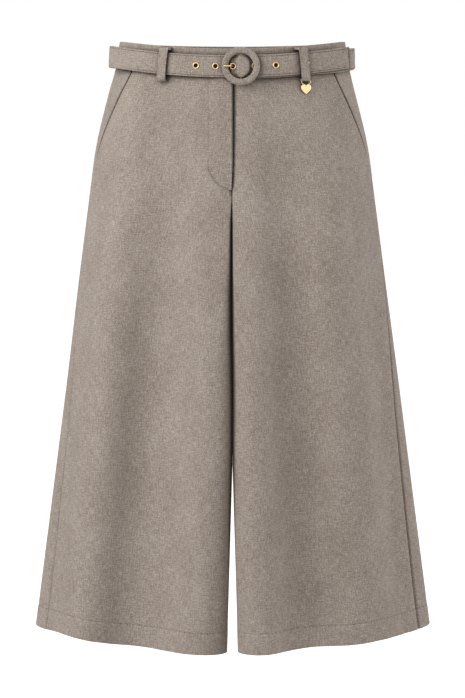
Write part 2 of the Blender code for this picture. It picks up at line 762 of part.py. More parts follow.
def heart_mesh(name):
    """A heart plate in its own XY plane, its lobes' tops at y = 0."""
    curve = bpy.data.curves.new(name, "CURVE")
    curve.dimensions = "2D"
    curve.fill_mode = "BOTH"
    curve.extrude = HEART_THICK / 2
    curve.resolution_u = 8
    wide, tall = HEART_WIDE / 2, HEART_TALL
    anchors = (
        ((0.0, -0.17 * tall), (-0.10 * wide, 0.02 * tall), (0.10 * wide, 0.02 * tall)),
        ((0.52 * wide, 0.0), (0.28 * wide, 0.0), (0.82 * wide, 0.0)),
        ((wide, -0.30 * tall), (wide, -0.13 * tall), (wide, -0.50 * tall)),
        ((0.0, -tall), (0.30 * wide, -0.84 * tall), (-0.30 * wide, -0.84 * tall)),
        ((-wide, -0.30 * tall), (-wide, -0.50 * tall), (-wide, -0.13 * tall)),
        ((-0.52 * wide, 0.0), (-0.82 * wide, 0.0), (-0.28 * wide, 0.0)),
    )
    spline = curve.splines.new("BEZIER")
    spline.bezier_points.add(len(anchors) - 1)
    spline.use_cyclic_u = True
    for slot, (at, before, after) in zip(spline.bezier_points, anchors):
        slot.handle_left_type = slot.handle_right_type = "FREE"
        slot.co = (*at, 0.0)
        slot.handle_left = (*before, 0.0)
        slot.handle_right = (*after, 0.0)
    return mesh_from_curve(name, curve)


def build_charm(along, layers, slant, material, group, cutters):
    """The heart and its wire bail in one piece, hanging from the belt loop's lower end."""
    centre, across, outward = charm_frame(along, layers, slant)
    frame = Matrix((across, Vector((0.0, 0.0, 1.0)), outward)).transposed().to_4x4()
    placed = Matrix.Translation(centre) @ frame
    heart = heart_mesh("heart_charm")
    heart.transform(Matrix.Translation((0.0, -HEART_DROP, 0.0)))
    item = place("heart_charm", heart, material, group)
    item.matrix_world = placed
    lobe = LOBE_SHARE * HEART_WIDE / 2
    arm = (
        (BAIL_HALF - BAIL_BEND, 0.0, 0.0), (BAIL_HALF, -BAIL_BEND, 0.0), (BAIL_HALF, -BAIL_STRAIGHT, 0.0),
        (lobe, -HEART_DROP, 0.0), (lobe, -HEART_DROP - BAIL_IN_HEART, 0.0),
    )
    points = [(-x, y, z) for x, y, z in reversed(arm)] + list(arm)
    bail = place("bail_wire", wire_mesh("bail_wire", points, WIRE_RADIUS), material, cutters)
    bail.matrix_world = placed
    bail.hide_render = True
    bail.display_type = "WIRE"
    union = item.modifiers.new("bail", "BOOLEAN")
    union.operation = "UNION"
    union.object = bail
    return item


def main():
    """Build the garment, its belt, its loops and its charm."""
    clear_scene()
    group = new_collection("belted_culottes")
    cutters = new_collection("cutters")
    cloth = new_material("woven_cloth", CLOTH_COLOUR, 0.9, 0.0)
    brass = new_material("brass", BRASS_COLOUR, 0.3, 1.0)
    gold = new_material("gilt_brass", GOLD_COLOUR, 0.35, 1.0)
    for word, side in (("left", 1), ("right", -1)):
        build_panel(f"front_{word}", FRONT, side, cloth, group)
        build_panel(f"back_{word}", BACK, side, cloth, group)
        build_hem(f"hem_{word}", side, cloth, group)
        build_pocket_facing(f"pocket_facing_{word}", side, cloth, group)
    build_waistband(cloth, group)
    build_fly(cloth, group)
    build_belt(cloth, group, cutters)
    for i, x in enumerate(EYELET_X, 1):
        build_eyelet(f"eyelet_{i}", x, brass, group)
    build_buckle(cloth, brass, group)

    turn = belt_length_round()
    front, other = (belt_along_x(x) for x in LOOP_FRONT_X)
    rear = LOOP_SIDE_SHARE * turn
    build_loop("loop_front_left", front, 2, LOOP_SLANT[0], cloth, group)
    build_loop("loop_front_right", turn - other, 1, LOOP_SLANT[1], cloth, group)
    build_loop("loop_side_left", rear, 1, 0.0, cloth, group)
    build_loop("loop_side_right", turn - rear, 1, 0.0, cloth, group)
    build_loop("loop_back", turn / 2, 1, 0.0, cloth, group)
    build_charm(front, 2, LOOP_SLANT[0], gold, group, cutters)


main()
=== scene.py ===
"""Belted wide-leg culottes: the visible cloth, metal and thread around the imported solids.

Metres, +Z up. The front faces -Y and the wearer's left is +X. A place on the cloth is
given by its depth below the waist and its girth, the length along the level section
from the outermost point of the side: negative round the front, positive round the back.
"""

import logging
import math
from dataclasses import dataclass, field
from enum import Enum
from typing import NamedTuple, Sequence

import bmesh
import bpy
import numpy as np
from mathutils import Matrix, Vector
from mathutils.geometry import interpolate_bezier


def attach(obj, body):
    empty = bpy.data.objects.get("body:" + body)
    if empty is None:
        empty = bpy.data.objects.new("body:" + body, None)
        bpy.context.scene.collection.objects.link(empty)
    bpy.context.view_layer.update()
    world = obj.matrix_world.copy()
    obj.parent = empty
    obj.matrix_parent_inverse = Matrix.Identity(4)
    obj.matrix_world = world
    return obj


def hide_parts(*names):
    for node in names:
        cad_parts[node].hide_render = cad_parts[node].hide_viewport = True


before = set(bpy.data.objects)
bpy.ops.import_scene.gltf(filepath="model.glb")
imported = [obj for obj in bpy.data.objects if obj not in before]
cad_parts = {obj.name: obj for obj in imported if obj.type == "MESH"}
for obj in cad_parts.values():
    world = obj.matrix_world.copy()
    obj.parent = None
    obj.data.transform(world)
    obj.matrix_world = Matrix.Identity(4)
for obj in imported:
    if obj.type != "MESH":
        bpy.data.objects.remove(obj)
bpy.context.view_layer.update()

MM = 0.001
GRAIN = "grain"             # UV map in metres of flat cloth, V along the straight grain
GARMENT, CHARM = "garment", "charm"
SIDES = {1: "left", -1: "right"}        # the wearer's, by the sign of their X
UP = Vector((0.0, 0.0, 1.0))
ONE_PLACE = 0.01 * MM       # corners closer than this are joined
log = logging.getLogger("culottes")


# Small helpers -----------------------------------------------------------------------------
def linear(hex_colour: str) -> tuple:
    """Turn an sRGB hex colour into linear RGBA.

    Args:
        hex_colour: Six hex digits.
    Returns:
        Four linear channels.
    """
    channels = [int(hex_colour[i:i + 2], 16) / 255.0 for i in (0, 2, 4)]
    return tuple(c / 12.92 if c <= 0.04045 else ((c + 0.055) / 1.055) ** 2.4 for c in channels) + (1.0,)


def feed(tree: bpy.types.NodeTree, inputs: Sequence, values: dict) -> None:
    """Link inputs to the sockets that feed them, and set constants on the inputs themselves.

    Args:
        tree: The node tree.
        inputs: A node's inputs.
        values: Input name or index to the socket, or the constant, that feeds it.
    """
    for name, value in values.items():
        if isinstance(value, bpy.types.NodeSocket):
            tree.links.new(value, inputs[name])
        else:
            inputs[name].default_value = value


def add_node(tree: bpy.types.NodeTree, kind: str, links: dict = {}, **settings) -> bpy.types.Node:
    """Add a node, set it up and feed its inputs.

    Args:
        tree: The node tree.
        kind: The node's type, without the ShaderNode prefix.
        links: Input name or index to the socket, or the constant, that feeds it.
        settings: Properties of the node.
    Returns:
        The new node.
    """
    node = tree.nodes.new("ShaderNode" + kind)
    for name, value in settings.items():
        setattr(node, name, value)
    feed(tree, node.inputs, links)
    return node


def new_material(name: str) -> tuple:
    """Start a material.

    Args:
        name: The material's name.
    Returns:
        The material, its node tree and the inputs of its shader.
    """
    material = bpy.data.materials.new(name)
    material.use_nodes = True
    tree = material.node_tree
    return material, tree, tree.nodes["Principled BSDF"].inputs


def coloured(tree: bpy.types.NodeTree, value: bpy.types.NodeSocket, *stops: tuple) -> bpy.types.NodeSocket:
    """Turn a value into colours.

    Args:
        tree: The node tree.
        value: The value, from 0 to 1.
        stops: Pairs of (value, sRGB hex colour): the lowest, the highest, then any between.
    Returns:
        The colour's socket.
    """
    node = add_node(tree, "ValToRGB", {0: value})
    elements = node.color_ramp.elements
    for i, (place, colour) in enumerate(stops):
        stop = elements[i] if i < 2 else elements.new(place)
        stop.position, stop.color = place, linear(colour)
    return node.outputs[0]


def speckle(tree: bpy.types.NodeTree, size: float, detail: float) -> bpy.types.NodeSocket:
    """Noise in the piece's own space, with marks of a size in millimetres."""
    place = add_node(tree, "TexCoord").outputs["Object"]
    sized = add_node(tree, "Mapping", {"Vector": place, "Scale": (1.0 / (size * MM),) * 3})
    return add_node(tree, "TexNoise", {"Vector": sized.outputs[0], "Scale": 1.0, "Detail": detail}).outputs[0]


def blend(start: float, end: float, value: np.ndarray) -> np.ndarray:
    """A smooth step from 0 at start to 1 at end."""
    share = np.clip((value - start) / (end - start), 0.0, 1.0)
    return share * share * (3.0 - 2.0 * share)


def bell(distance: np.ndarray, wide: float) -> np.ndarray:
    """A bell curve of the distance, 1 at 0."""
    return np.exp(-((distance / wide) ** 2))


def lengths(points: np.ndarray) -> np.ndarray:
    """Length along a line up to each of its points."""
    return np.concatenate([[0.0], np.cumsum(np.linalg.norm(np.diff(points, axis=0), axis=1))])


def axes(place: Sequence, x: Vector, y: Vector, z: Vector) -> Matrix:
    """Placement that puts the origin at a place and turns the axes to three directions."""
    return Matrix.Translation(place) @ Matrix((x, y, z)).transposed().to_4x4()


def smooth_path(points: Sequence, count: int) -> np.ndarray:
    """A smooth line through a few points, evenly spaced along its length.

    Args:
        points: The line's own points, of two or three numbers.
        count: How many points to return.
    Returns:
        The points as rows.
    """
    given = np.array(points, dtype=float)
    padded = np.vstack([2 * given[0] - given[1], given, 2 * given[-1] - given[-2]])
    share = np.linspace(0.0, 1.0, 24, endpoint=False)[:, None]
    pieces = []
    for a, b, c, d in zip(padded, padded[1:], padded[2:], padded[3:]):
        pieces.append(0.5 * (2 * b + (c - a) * share + (2 * a - 5 * b + 4 * c - d) * share ** 2
                             + (3 * b - a - 3 * c + d) * share ** 3))
    dense = np.vstack(pieces + [given[-1:]])
    along = lengths(dense)
    even = np.linspace(0.0, along[-1], count)
    return np.column_stack([np.interp(even, along, column) for column in dense.T])


# Finishes ----------------------------------------------------------------------------------
@dataclass(frozen=True)
class WovenCloth:
    """Matt wool-blend suiting: plain weave of melange yarn, with short slubs both ways."""

    name: str = "woven_melange_suiting"
    dark: str = "85776c"
    middle: str = "a19489"
    light: str = "bdb2a8"
    fleck: float = 1.3          # mm, the melange's light and dark fibres, coarse enough to show
    slub_wide: float = 1.2      # mm
    slub_long: float = 9.0      # mm
    crease: float = 9.0         # mm, reach of the painted shade: the colour darkens where other surfaces lie this near
    thread: float = 0.9         # mm, twice the real yarn spacing, so that it shows in close views
    tone: float = 38.0          # mm, slow drift of tone
    weights: tuple = (1.05, 0.52, 0.50, 0.24)       # of flecks, slubs both ways and drift
    balance: float = 0.655      # taken off their sum, so that it centres on the middle colour

    def build(self) -> bpy.types.Material:
        """Make the material: matt, soft at grazing angles, streaked with yarn, and darkened and warmed by
        painted shade near other surfaces.

        Returns:
            The material.
        """
        material, tree, shader = new_material(self.name)
        grain = add_node(tree, "UVMap", uv_map=GRAIN).outputs["UV"]

        def pattern(across: float, along: float, detail: float) -> bpy.types.NodeSocket:
            """Lay noise on the grain.

            Args:
                across: Width of its marks in millimetres.
                along: Their length.
                detail: How many finer layers it has.
            Returns:
                The noise.
            """
            sized = add_node(tree, "Mapping", {"Vector": grain,
                             "Scale": (1.0 / (across * MM), 1.0 / (along * MM), 1.0)})
            return add_node(tree, "TexNoise", {"Vector": sized.outputs[0], "Scale": 1.0,
                            "Detail": detail, "Roughness": 0.62}, noise_dimensions="2D").outputs[0]

        def total(*parts: tuple) -> bpy.types.NodeSocket:
            """Add up pairs of a value and its weight."""
            value = 0.0
            for part, weight in parts:
                scaled = add_node(tree, "Math", {0: part, 1: weight}, operation="MULTIPLY").outputs[0]
                value = add_node(tree, "Math", {0: value, 1: scaled}, operation="ADD").outputs[0]
            return value

        flecks = pattern(self.fleck, self.fleck, 2.0)
        warp = pattern(self.slub_wide, self.slub_long, 1.5)
        weft = pattern(self.slub_long, self.slub_wide, 1.5)
        drift = pattern(self.tone, self.tone * 1.6, 2.0)
        value = total(*zip((flecks, warp, weft, drift), self.weights))
        centred = add_node(tree, "Math", {0: value, 1: self.balance}, operation="SUBTRACT").outputs[0]
        colour = coloured(tree, centred, (0.23, self.dark), (0.77, self.light), (0.5, self.middle))
        # painted shade: ambient occlusion darkens the base colour, and makes it warmer, in creases and beside
        # or under other parts
        painted_occlusion = add_node(tree, "AmbientOcclusion", {"Distance": self.crease * MM}, samples=16).outputs["AO"]
        shade = add_node(tree, "MapRange", {"Value": painted_occlusion, "From Min": 0.38, "From Max": 0.96, "To Min": 0.12})
        painted_shade_warmth = add_node(tree, "MapRange", {"Value": painted_occlusion, "From Min": 0.28, "From Max": 0.90,
                        "To Min": 1.7, "To Max": 1.0})
        shaded = add_node(tree, "HueSaturation", {"Value": shade.outputs[0], "Color": colour,
                          "Saturation": painted_shade_warmth.outputs[0]})

        place = add_node(tree, "SeparateXYZ", {0: grain})
        waves = []
        for axis in (0, 1):
            turned = add_node(tree, "Math", {0: place.outputs[axis], 1: math.pi / (self.thread * MM)},
                              operation="MULTIPLY")
            waves.append(add_node(tree, "Math", {0: turned.outputs[0]}, operation="SINE").outputs[0])
        weave = add_node(tree, "Math", {0: waves[0], 1: waves[1]}, operation="MULTIPLY").outputs[0]
        yarn = total((weave, 0.30), (flecks, 1.0), (warp, 0.5))
        bump = add_node(tree, "Bump", {"Height": yarn, "Strength": 0.55, "Distance": 0.35 * MM})
        feed(tree, shader, {"Base Color": shaded.outputs[0], "Normal": bump.outputs[0], "Roughness": 0.92,
                            "Specular IOR Level": 0.25, "Sheen Weight": 0.10, "Sheen Roughness": 0.6})
        return material


@dataclass(frozen=True)
class Metal:
    """Plated brass: a mirror base broken by fine drawing marks and handling haze, with painted shade where
    other parts lie near.
    """

    name: str
    colour: str
    worn: str
    roughness: float
    mark: float = 0.6           # mm, spacing of the polishing marks

    def build(self) -> bpy.types.Material:
        """Make the material.

        Returns:
            The material.
        """
        material, tree, shader = new_material(self.name)
        marks = speckle(tree, self.mark, 3.0)
        haze = add_node(tree, "MapRange", {"Value": marks, "To Min": self.roughness * 0.8,
                        "To Max": self.roughness * 1.3})
        tone = coloured(tree, marks, (0.25, self.worn), (0.55, self.colour))
        bump = add_node(tree, "Bump", {"Height": marks, "Strength": 0.15, "Distance": 0.05 * MM})
        # painted shade: ambient occlusion darkens the colour where other parts lie within 4 mm
        near = add_node(tree, "AmbientOcclusion", {"Distance": 4.0 * MM}, samples=12).outputs["AO"]
        metal_painted_shade = add_node(tree, "MapRange", {"Value": near, "From Min": 0.20, "From Max": 0.75, "To Min": 0.08})
        shaded = add_node(tree, "HueSaturation", {"Value": metal_painted_shade.outputs[0], "Color": tone})
        feed(tree, shader, {"Base Color": shaded.outputs[0], "Roughness": haze.outputs[0],
                            "Normal": bump.outputs[0], "Metallic": 1.0})
        return material


@dataclass(frozen=True)
class Yarn:
    """Spun polyester thread, or black felt for the discs of painted shade in the eyelets: matt, with the
    twist of its fibres.
    """

    name: str
    colour: str
    deep: str
    twist: float = 0.5          # mm

    def build(self) -> bpy.types.Material:
        """Make the material.

        Returns:
            The material.
        """
        material, tree, shader = new_material(self.name)
        fibre = speckle(tree, self.twist, 2.0)
        tone = coloured(tree, fibre, (0.0, self.deep), (1.0, self.colour))
        bump = add_node(tree, "Bump", {"Height": fibre, "Strength": 0.4, "Distance": 0.1 * MM})
        feed(tree, shader, {"Base Color": tone, "Normal": bump.outputs[0], "Roughness": 0.85})
        return material


class Finish(Enum):
    """The finishes of the garment, each with the record's slot it belongs to."""

    CLOTH = "woven_cloth"
    BRASS = "brass"
    GILT = "gilt"
    THREAD = "thread"
    SHADE_FELT = "felt"
    INSIDE_SHADE = "lining"

    def material(self) -> bpy.types.Material:
        """Make the finish's material, once.

        Returns:
            The material.
        """
        if self not in _made:
            _made[self] = {
                Finish.CLOTH: WovenCloth(),
                Finish.BRASS: Metal("rolled_brass", "ecd09a", "bf9458", 0.34),
                Finish.GILT: Metal("gilt_brass", "efdcae", "dcbc80", 0.40),
                Finish.THREAD: Yarn("spun_thread", "94877c", "75695f"),
                # black discs in the eyelets' holes: painted shade
                Finish.SHADE_FELT: Yarn("painted_shade_felt", "1b1614", "0c0a09"),
                # the waistband's inner face: the same suiting in darker colours, as painted shade
                Finish.INSIDE_SHADE: WovenCloth("painted_shade_lining", "6c5f55", "887a6e", "a3968b"),
            }[self].build()
        return _made[self]

    def slot(self) -> str:
        """The record's material slot."""
        return "woven_cloth" if self in (Finish.THREAD, Finish.SHADE_FELT, Finish.INSIDE_SHADE) else self.value


_made: dict = {}


# Making pieces -----------------------------------------------------------------------------
def dress(item: bpy.types.Object, finish: Finish, nodes: Sequence[str] = (),
          body: str = GARMENT) -> bpy.types.Object:
    """Finish a piece, hang it on its body and hide the solids it stands for.

    Args:
        item: The piece, in place, with its object at the origin.
        finish: What it is made of.
        nodes: The solids it stands for.
        body: The body it moves with.
    Returns:
        The piece.
    """
    item.data.materials.clear()
    item.data.materials.append(finish.material())
    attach(item, body)
    if nodes:
        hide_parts(*nodes)
    log.info("%s: %d faces, on %s", item.name, len(item.data.polygons), body)
    return item


def put(name: str, data: bpy.types.ID) -> bpy.types.Object:
    """A new object of the scene, at the origin."""
    item = bpy.data.objects.new(name, data)
    bpy.context.scene.collection.objects.link(item)
    return item


def link(name: str, work: bmesh.types.BMesh, sharp: float = 40.0) -> bpy.types.Object:
    """Turn a bmesh into an object of the scene, smooth but for its sharp edges.

    Args:
        name: The piece's name.
        work: The bmesh, which is freed.
        sharp: Angle in degrees from which an edge stays sharp.
    Returns:
        The object, at the origin.
    """
    mesh = bpy.data.meshes.new(name)
    work.to_mesh(mesh)
    work.free()
    mesh.shade_smooth()
    mesh.set_sharp_from_angle(angle=math.radians(sharp))
    return put(name, mesh)


def spun(section: Sequence, steps: int) -> bmesh.types.BMesh:
    """Spin a closed section once round the Z axis.

    Args:
        section: Pairs of radius and height.
        steps: Faces round the axis.
    Returns:
        The closed ring.
    """
    work = bmesh.new()
    corners = [work.verts.new((radius, 0.0, level)) for radius, level in section]
    edges = [work.edges.new(pair) for pair in zip(corners, corners[1:] + corners[:1])]
    bmesh.ops.spin(work, geom=corners + edges, axis=(0, 0, 1), cent=(0, 0, 0),
                   angle=2.0 * math.pi, steps=steps, use_merge=True)
    bmesh.ops.remove_doubles(work, verts=work.verts, dist=ONE_PLACE)
    bmesh.ops.recalc_face_normals(work, faces=work.faces)
    return work


def tube(name: str, path: np.ndarray, radii: np.ndarray, sides: int) -> bpy.types.Object:
    """A round wire along a path, its ends domed.

    Args:
        name: The piece's name.
        path: Points along the middle.
        radii: Radius at each point.
        sides: Faces round the wire.
    Returns:
        The wire.
    """
    caps = np.array([0.94, 0.75, 0.40])
    runs = np.gradient(path, axis=0)
    runs /= np.linalg.norm(runs, axis=1, keepdims=True)
    head = [path[0] - runs[0] * radii[0] * math.sqrt(1.0 - c * c) for c in caps[::-1]]
    tail = [path[-1] + runs[-1] * radii[-1] * math.sqrt(1.0 - c * c) for c in caps]
    path = np.vstack([head, path, tail])
    runs = np.vstack([np.tile(runs[0], (3, 1)), runs, np.tile(runs[-1], (3, 1))])
    radii = np.concatenate([radii[0] * caps[::-1], radii, radii[-1] * caps])
    work = bmesh.new()
    side = Vector(runs[0]).orthogonal().normalized()
    loops = []
    for point, run, radius in zip(path, runs, radii):
        run = Vector(run)
        side = (side - run * side.dot(run)).normalized()
        made = bmesh.ops.create_circle(work, segments=sides, radius=radius, cap_ends=False,
                                       matrix=axes(point, side, run.cross(side), run))["verts"]
        loops.append(list({edge for vert in made for edge in vert.link_edges}))
    for here, there in zip(loops, loops[1:]):
        bmesh.ops.bridge_loops(work, edges=here + there)
    bmesh.ops.holes_fill(work, edges=[edge for edge in work.edges if edge.is_boundary], sides=0)
    bmesh.ops.recalc_face_normals(work, faces=work.faces)
    return link(name, work)


def outward(points: np.ndarray, core: Sequence[float]) -> np.ndarray:
    """Unit normals of a grid of points, pointing away from a core.

    Args:
        points: Rows by columns by three.
        core: A place inside, as three numbers, or one for each point.
    Returns:
        Normals in the grid's own shape.
    """
    normal = np.cross(np.gradient(points, axis=1), np.gradient(points, axis=0))
    normal /= np.maximum(np.linalg.norm(normal, axis=2, keepdims=True), 1e-12)
    return normal * np.sign(np.sum(normal * (points - np.array(core))))


def grain_of(across: np.ndarray, down: np.ndarray) -> np.ndarray:
    """The grain of a grid: its places across the cloth, and one place down it for each row."""
    return np.stack(np.broadcast_arrays(across, down[:, None]), axis=2)


@dataclass
class Sheet:
    """A piece of cloth: a grid of places with its grain, given a wall."""

    name: str                   # the solid's name behind "cloth_"
    points: np.ndarray
    grain: np.ndarray
    normals: np.ndarray
    wall: float
    offset: float = -1.0        # -1 puts the wall inside the points, 0 on both sides
    rounded: float = 0.45 * MM
    closed: bool = False
    even: bool = True
    thin: np.ndarray | None = None      # share of the wall at each point, where it tapers

    def shape(self) -> bpy.types.Object:
        """Make the sheet from a flat grid mapped onto its places.

        Returns:
            Its object, with the wall and the rounded edges as modifiers.
        """
        rows, columns = self.points.shape[:2]
        work = bmesh.new()
        bmesh.ops.create_grid(work, x_segments=columns - 1, y_segments=rows - 1, size=0.5)
        mesh = bpy.data.meshes.new(self.name)
        work.to_mesh(mesh)
        work.free()
        flat = np.empty(len(mesh.vertices) * 3)
        mesh.vertices.foreach_get("co", flat)
        flat = flat.reshape(-1, 3)
        column = np.rint((flat[:, 0] + 0.5) * (columns - 1)).astype(int)
        row = np.rint((flat[:, 1] + 0.5) * (rows - 1)).astype(int)
        mesh.vertices.foreach_set("co", self.points[row, column].ravel())
        corners = np.empty(len(mesh.loops), dtype=int)
        mesh.loops.foreach_get("vertex_index", corners)
        layer = mesh.uv_layers.new(name=GRAIN)
        layer.uv.foreach_set("vector", self.grain[row, column][corners].astype(np.float32).ravel())
        facing = np.cross(np.gradient(self.points, axis=1), np.gradient(self.points, axis=0))
        work = bmesh.new()
        work.from_mesh(mesh)
        if np.sum(facing * self.normals) < 0.0:
            bmesh.ops.reverse_faces(work, faces=work.faces)
        if self.closed:
            bmesh.ops.remove_doubles(work, verts=work.verts, dist=0.002 * MM)
        bpy.data.meshes.remove(mesh)
        item = link(self.name, work)
        shell = item.modifiers.new("wall", "SOLIDIFY")
        shell.thickness = self.wall
        shell.offset = self.offset
        shell.use_even_offset = self.even
        if self.thin is not None:
            group = item.vertex_groups.new(name="wall")
            for i, share in enumerate(self.thin[row, column]):
                group.add([i], float(share), "REPLACE")
            shell.vertex_group = "wall"
            shell.thickness_vertex_group = 0.02
        if self.rounded:
            edge = item.modifiers.new("edge", "BEVEL")
            edge.width = self.rounded
            edge.segments = 3
            edge.limit_method = "ANGLE"
            edge.angle_limit = math.radians(60.0)
        return item

    def build(self, held: str, *rests_on: str) -> bpy.types.Object:
        """Make the sheet and dress it as its solid.

        Args:
            held: How it is held. Not used.
            rests_on: What it hangs from or lies on. Not used.
        Returns:
            The sheet's object.
        """
        item = dress(self.shape(), Finish.CLOTH, [self.name.removeprefix("cloth_")])
        return item


@dataclass
class StitchRow:
    """A run of machine stitches: short lengths of thread lying on the cloth."""

    name: str
    length: float = 2.4 * MM
    pitch: float = 3.1 * MM
    thick: float = 0.22 * MM
    _work: bmesh.types.BMesh = field(default_factory=bmesh.new)

    def along(self, line: np.ndarray, out: np.ndarray) -> None:
        """Sew along a line.

        Args:
            line: Points on the cloth's face.
            out: The way out of the cloth at each point.
        """
        steps = lengths(line)
        for middle in np.arange(self.pitch / 2, steps[-1] - self.length / 2, self.pitch):
            ends = [Vector([np.interp(middle + half, steps, line[:, k]) for k in range(3)])
                    for half in (-self.length / 2, self.length / 2)]
            up = Vector([np.interp(middle, steps, out[:, k]) for k in range(3)]).normalized()
            run = (ends[1] - ends[0]).normalized()
            side = up.cross(run).normalized()
            size = Matrix.Diagonal((self.length / 2, self.thick, self.thick, 1.0))
            place = axes((ends[0] + ends[1]) / 2 + up * self.thick * 0.3, run, side, run.cross(side))
            bmesh.ops.create_uvsphere(self._work, u_segments=6, v_segments=4, radius=1.0,
                                      matrix=place @ size)

    def build(self, finish: Finish = Finish.THREAD) -> bpy.types.Object:
        """Make the whole run one piece."""
        return dress(link(self.name, self._work), finish)


# The form of the garment -------------------------------------------------------------------
@dataclass(frozen=True)
class FaceSizes:
    """Sizes in which the front and the back of a half section differ."""

    sign: int                   # of Y
    waist_reach: float          # from the side's plane to the middle, at the waist
    full_reach: float           # and from full_depth down
    full_depth: float
    corner_narrow: float        # the corner towards the inseam, at the crotch
    corner_wide: float          # and at the hem
    corner_deep: float
    fold: float                 # height of the broad waves
    fold_shift: float


FRONT = FaceSizes(-1, 0.0900, 0.1200, 0.30, 0.010, 0.040, 0.0130, 0.0090, 0.0)
BACK = FaceSizes(1, 0.0950, 0.1300, 0.20, 0.014, 0.044, 0.0150, 0.0070, 0.03)


class Line(NamedTuple):
    """A level half section: its places by girth, and the girths of its inner landmarks.

    The landmarks of each face, by its sign, are the corner's start, the inner wall's and the end.
    """

    girth: np.ndarray
    x: np.ndarray
    y: np.ndarray
    marks: dict


@dataclass
class Form:
    """The shape that the cloth takes when the garment is filled out."""

    length: float = 0.7112
    waist_half: float = 0.1336
    hem_half: float = 0.2404
    flare: float = 0.1332
    hip_depth: float = 0.140
    waist_roundness: float = 2.1
    hem_roundness: float = 1.5
    softening: float = 0.010
    rounder_from: float = 0.08      # depth from which the waist's plan turns into the hem's
    fuller_hip: float = 0.0013      # the wearer's right hip stands out a little more
    hip_starts: tuple = (0.03, 0.06)
    hip_ends: tuple = (0.26, 0.42)
    hip_share: float = 0.3          # share of the half width where it starts
    falls_back: float = 0.0070      # and that leg's inner edge falls back at the hem
    back_starts: tuple = (0.40, 0.66)
    back_wide: float = 0.014
    seam_forward: float = 0.0275
    seam_swings: tuple = (0.05, 0.47)       # depths between which the side seam swings forward
    dip_front: float = 0.0112
    dip_back: float = 0.0016
    dip_fades_by: float = 0.150
    lip: float = 0.0010             # the waistband's top edge stands this much higher
    lip_share: float = 0.85         # share of the band's depth over which this fades
    hem_rise: float = 0.0115        # of the hem at the sides
    rise_starts: float = 0.45       # share of the half width where the rise starts
    fold_first: float = 0.150
    fold_pitch: float = 0.580
    fold_grows: tuple = (0.04, 0.60)
    fold_stops: float = 0.75        # share of the half width where the waves start to fade
    notch: float = 0.171            # depth where the seam between the legs starts to turn in
    crotch: float = 0.265
    inseam_y: float = 0.012
    centre_gap: float = 0.00002     # seams are sewn shut and the legs touch, so no light comes through
    sway: float = 0.0016            # the touching legs and the back's seam lie this far to one side
    sway_ends: tuple = (0.45, 0.49)
    seam_off: float = 0.0006        # and the front's seam above the legs this far to the other
    off_ends: tuple = (0.26, 0.40)
    sway_starts: tuple = (0.14, 0.20)
    sway_wide: float = 0.02
    front_from: tuple = (-0.09, -0.02)      # Y over which the front's seam gives way to the legs
    legs_part: float = 0.490
    legs_spread: float = 0.0290
    band_deep: float = 0.0305
    hem_deep: float = 0.025
    seam: float = 0.0003
    pocket_open: float = 0.058
    pocket_end: float = 0.165
    pocket_curve: float = 0.70
    sharp_depths: tuple = (0.20, 0.26, 0.34, 0.42)      # where the front's inner corners keep
    sharp_left: tuple = (0.12, 0.14, 0.35, 1.0)         # these shares of their width
    sharp_right: tuple = (0.30, 0.45, 1.0, 1.0)
    hem_left: tuple = (0.3, 0.2, -0.5, -1.0, -1.0, 0.0, 0.6, 0.7, -0.3, -0.9, -1.6, -2.0, -2.1, -1.9,
                       -1.2, 0.7, 2.8, 5.0, 5.6, 4.8, 3.5)
    hem_right: tuple = (2.1, 1.9, 1.3, 1.0, 1.1, 1.8, 2.6, 3.2, 3.4, 2.9, 2.6, 2.5, 2.2, 1.3, 0.8, 0.1,
                        0.3, 1.5, 4.2, 5.3, 4.6)        # mm, how low each front hem hangs, middle to side
    _lines: dict = field(default_factory=dict)

    def half(self, depth: float) -> float:
        """Half width of the garment at a depth."""
        line = self.hem_half - self.flare * (self.length - depth)
        spring = self.hem_half - self.flare * self.length - self.waist_half
        return line - spring * (1.0 - blend(0.0, self.hip_depth, depth))

    def reach(self, face: FaceSizes, depth: float) -> float:
        """How far the front or back stands from the side's plane."""
        return face.waist_reach + (face.full_reach - face.waist_reach) * blend(0.0, face.full_depth, depth)

    def folds(self, face: FaceSizes, depth: float, share: np.ndarray) -> np.ndarray:
        """Soft ridges and troughs that grow from the hip to the hem.

        Args:
            face: The front or the back.
            depth: Depth below the waist.
            share: Places as shares of the half width.
        Returns:
            The height at each place.
        """
        growth = blend(*self.fold_grows, depth) ** 0.6
        wave = np.cos(2.0 * math.pi * (share - self.fold_first - face.fold_shift) / self.fold_pitch)
        return face.fold * growth * wave * (1.0 - blend(self.fold_stops, 1.0, share))

    def corner(self, face: FaceSizes, depth: float) -> tuple:
        """Sizes of the corner where a face turns in to the inseam.

        Args:
            face: The front or the back.
            depth: Depth below the waist.
        Returns:
            The gap beside the centre plane, the corner's width, how far it has turned and how far in it goes.
        """
        gap = self.centre_gap + self.legs_spread * max(depth - self.legs_part, 0.0)
        middle = self.reach(face, depth) + float(self.folds(face, depth, np.zeros(1))[0])
        turned_in = min(max((depth - self.notch) / (self.crotch - self.notch), 0.0), 1.0)
        inset = (middle - face.sign * self.inseam_y) * (1.0 - math.sqrt(1.0 - turned_in ** 2))
        wide = face.corner_narrow + (face.corner_wide - face.corner_narrow) * blend(
            self.notch, self.length, depth)
        turned = math.sin(math.acos(1.0 - min(inset / face.corner_deep, 1.0)))
        return gap, wide, turned, inset

    @staticmethod
    def drop(face: FaceSizes, turned: float, away: np.ndarray) -> np.ndarray:
        """How far a turned corner has fallen in at these distances, in widths of the corner."""
        inside = np.clip(turned - away, 0.0, 1.0)
        return face.corner_deep * (1.0 - np.sqrt(1.0 - inside * inside))

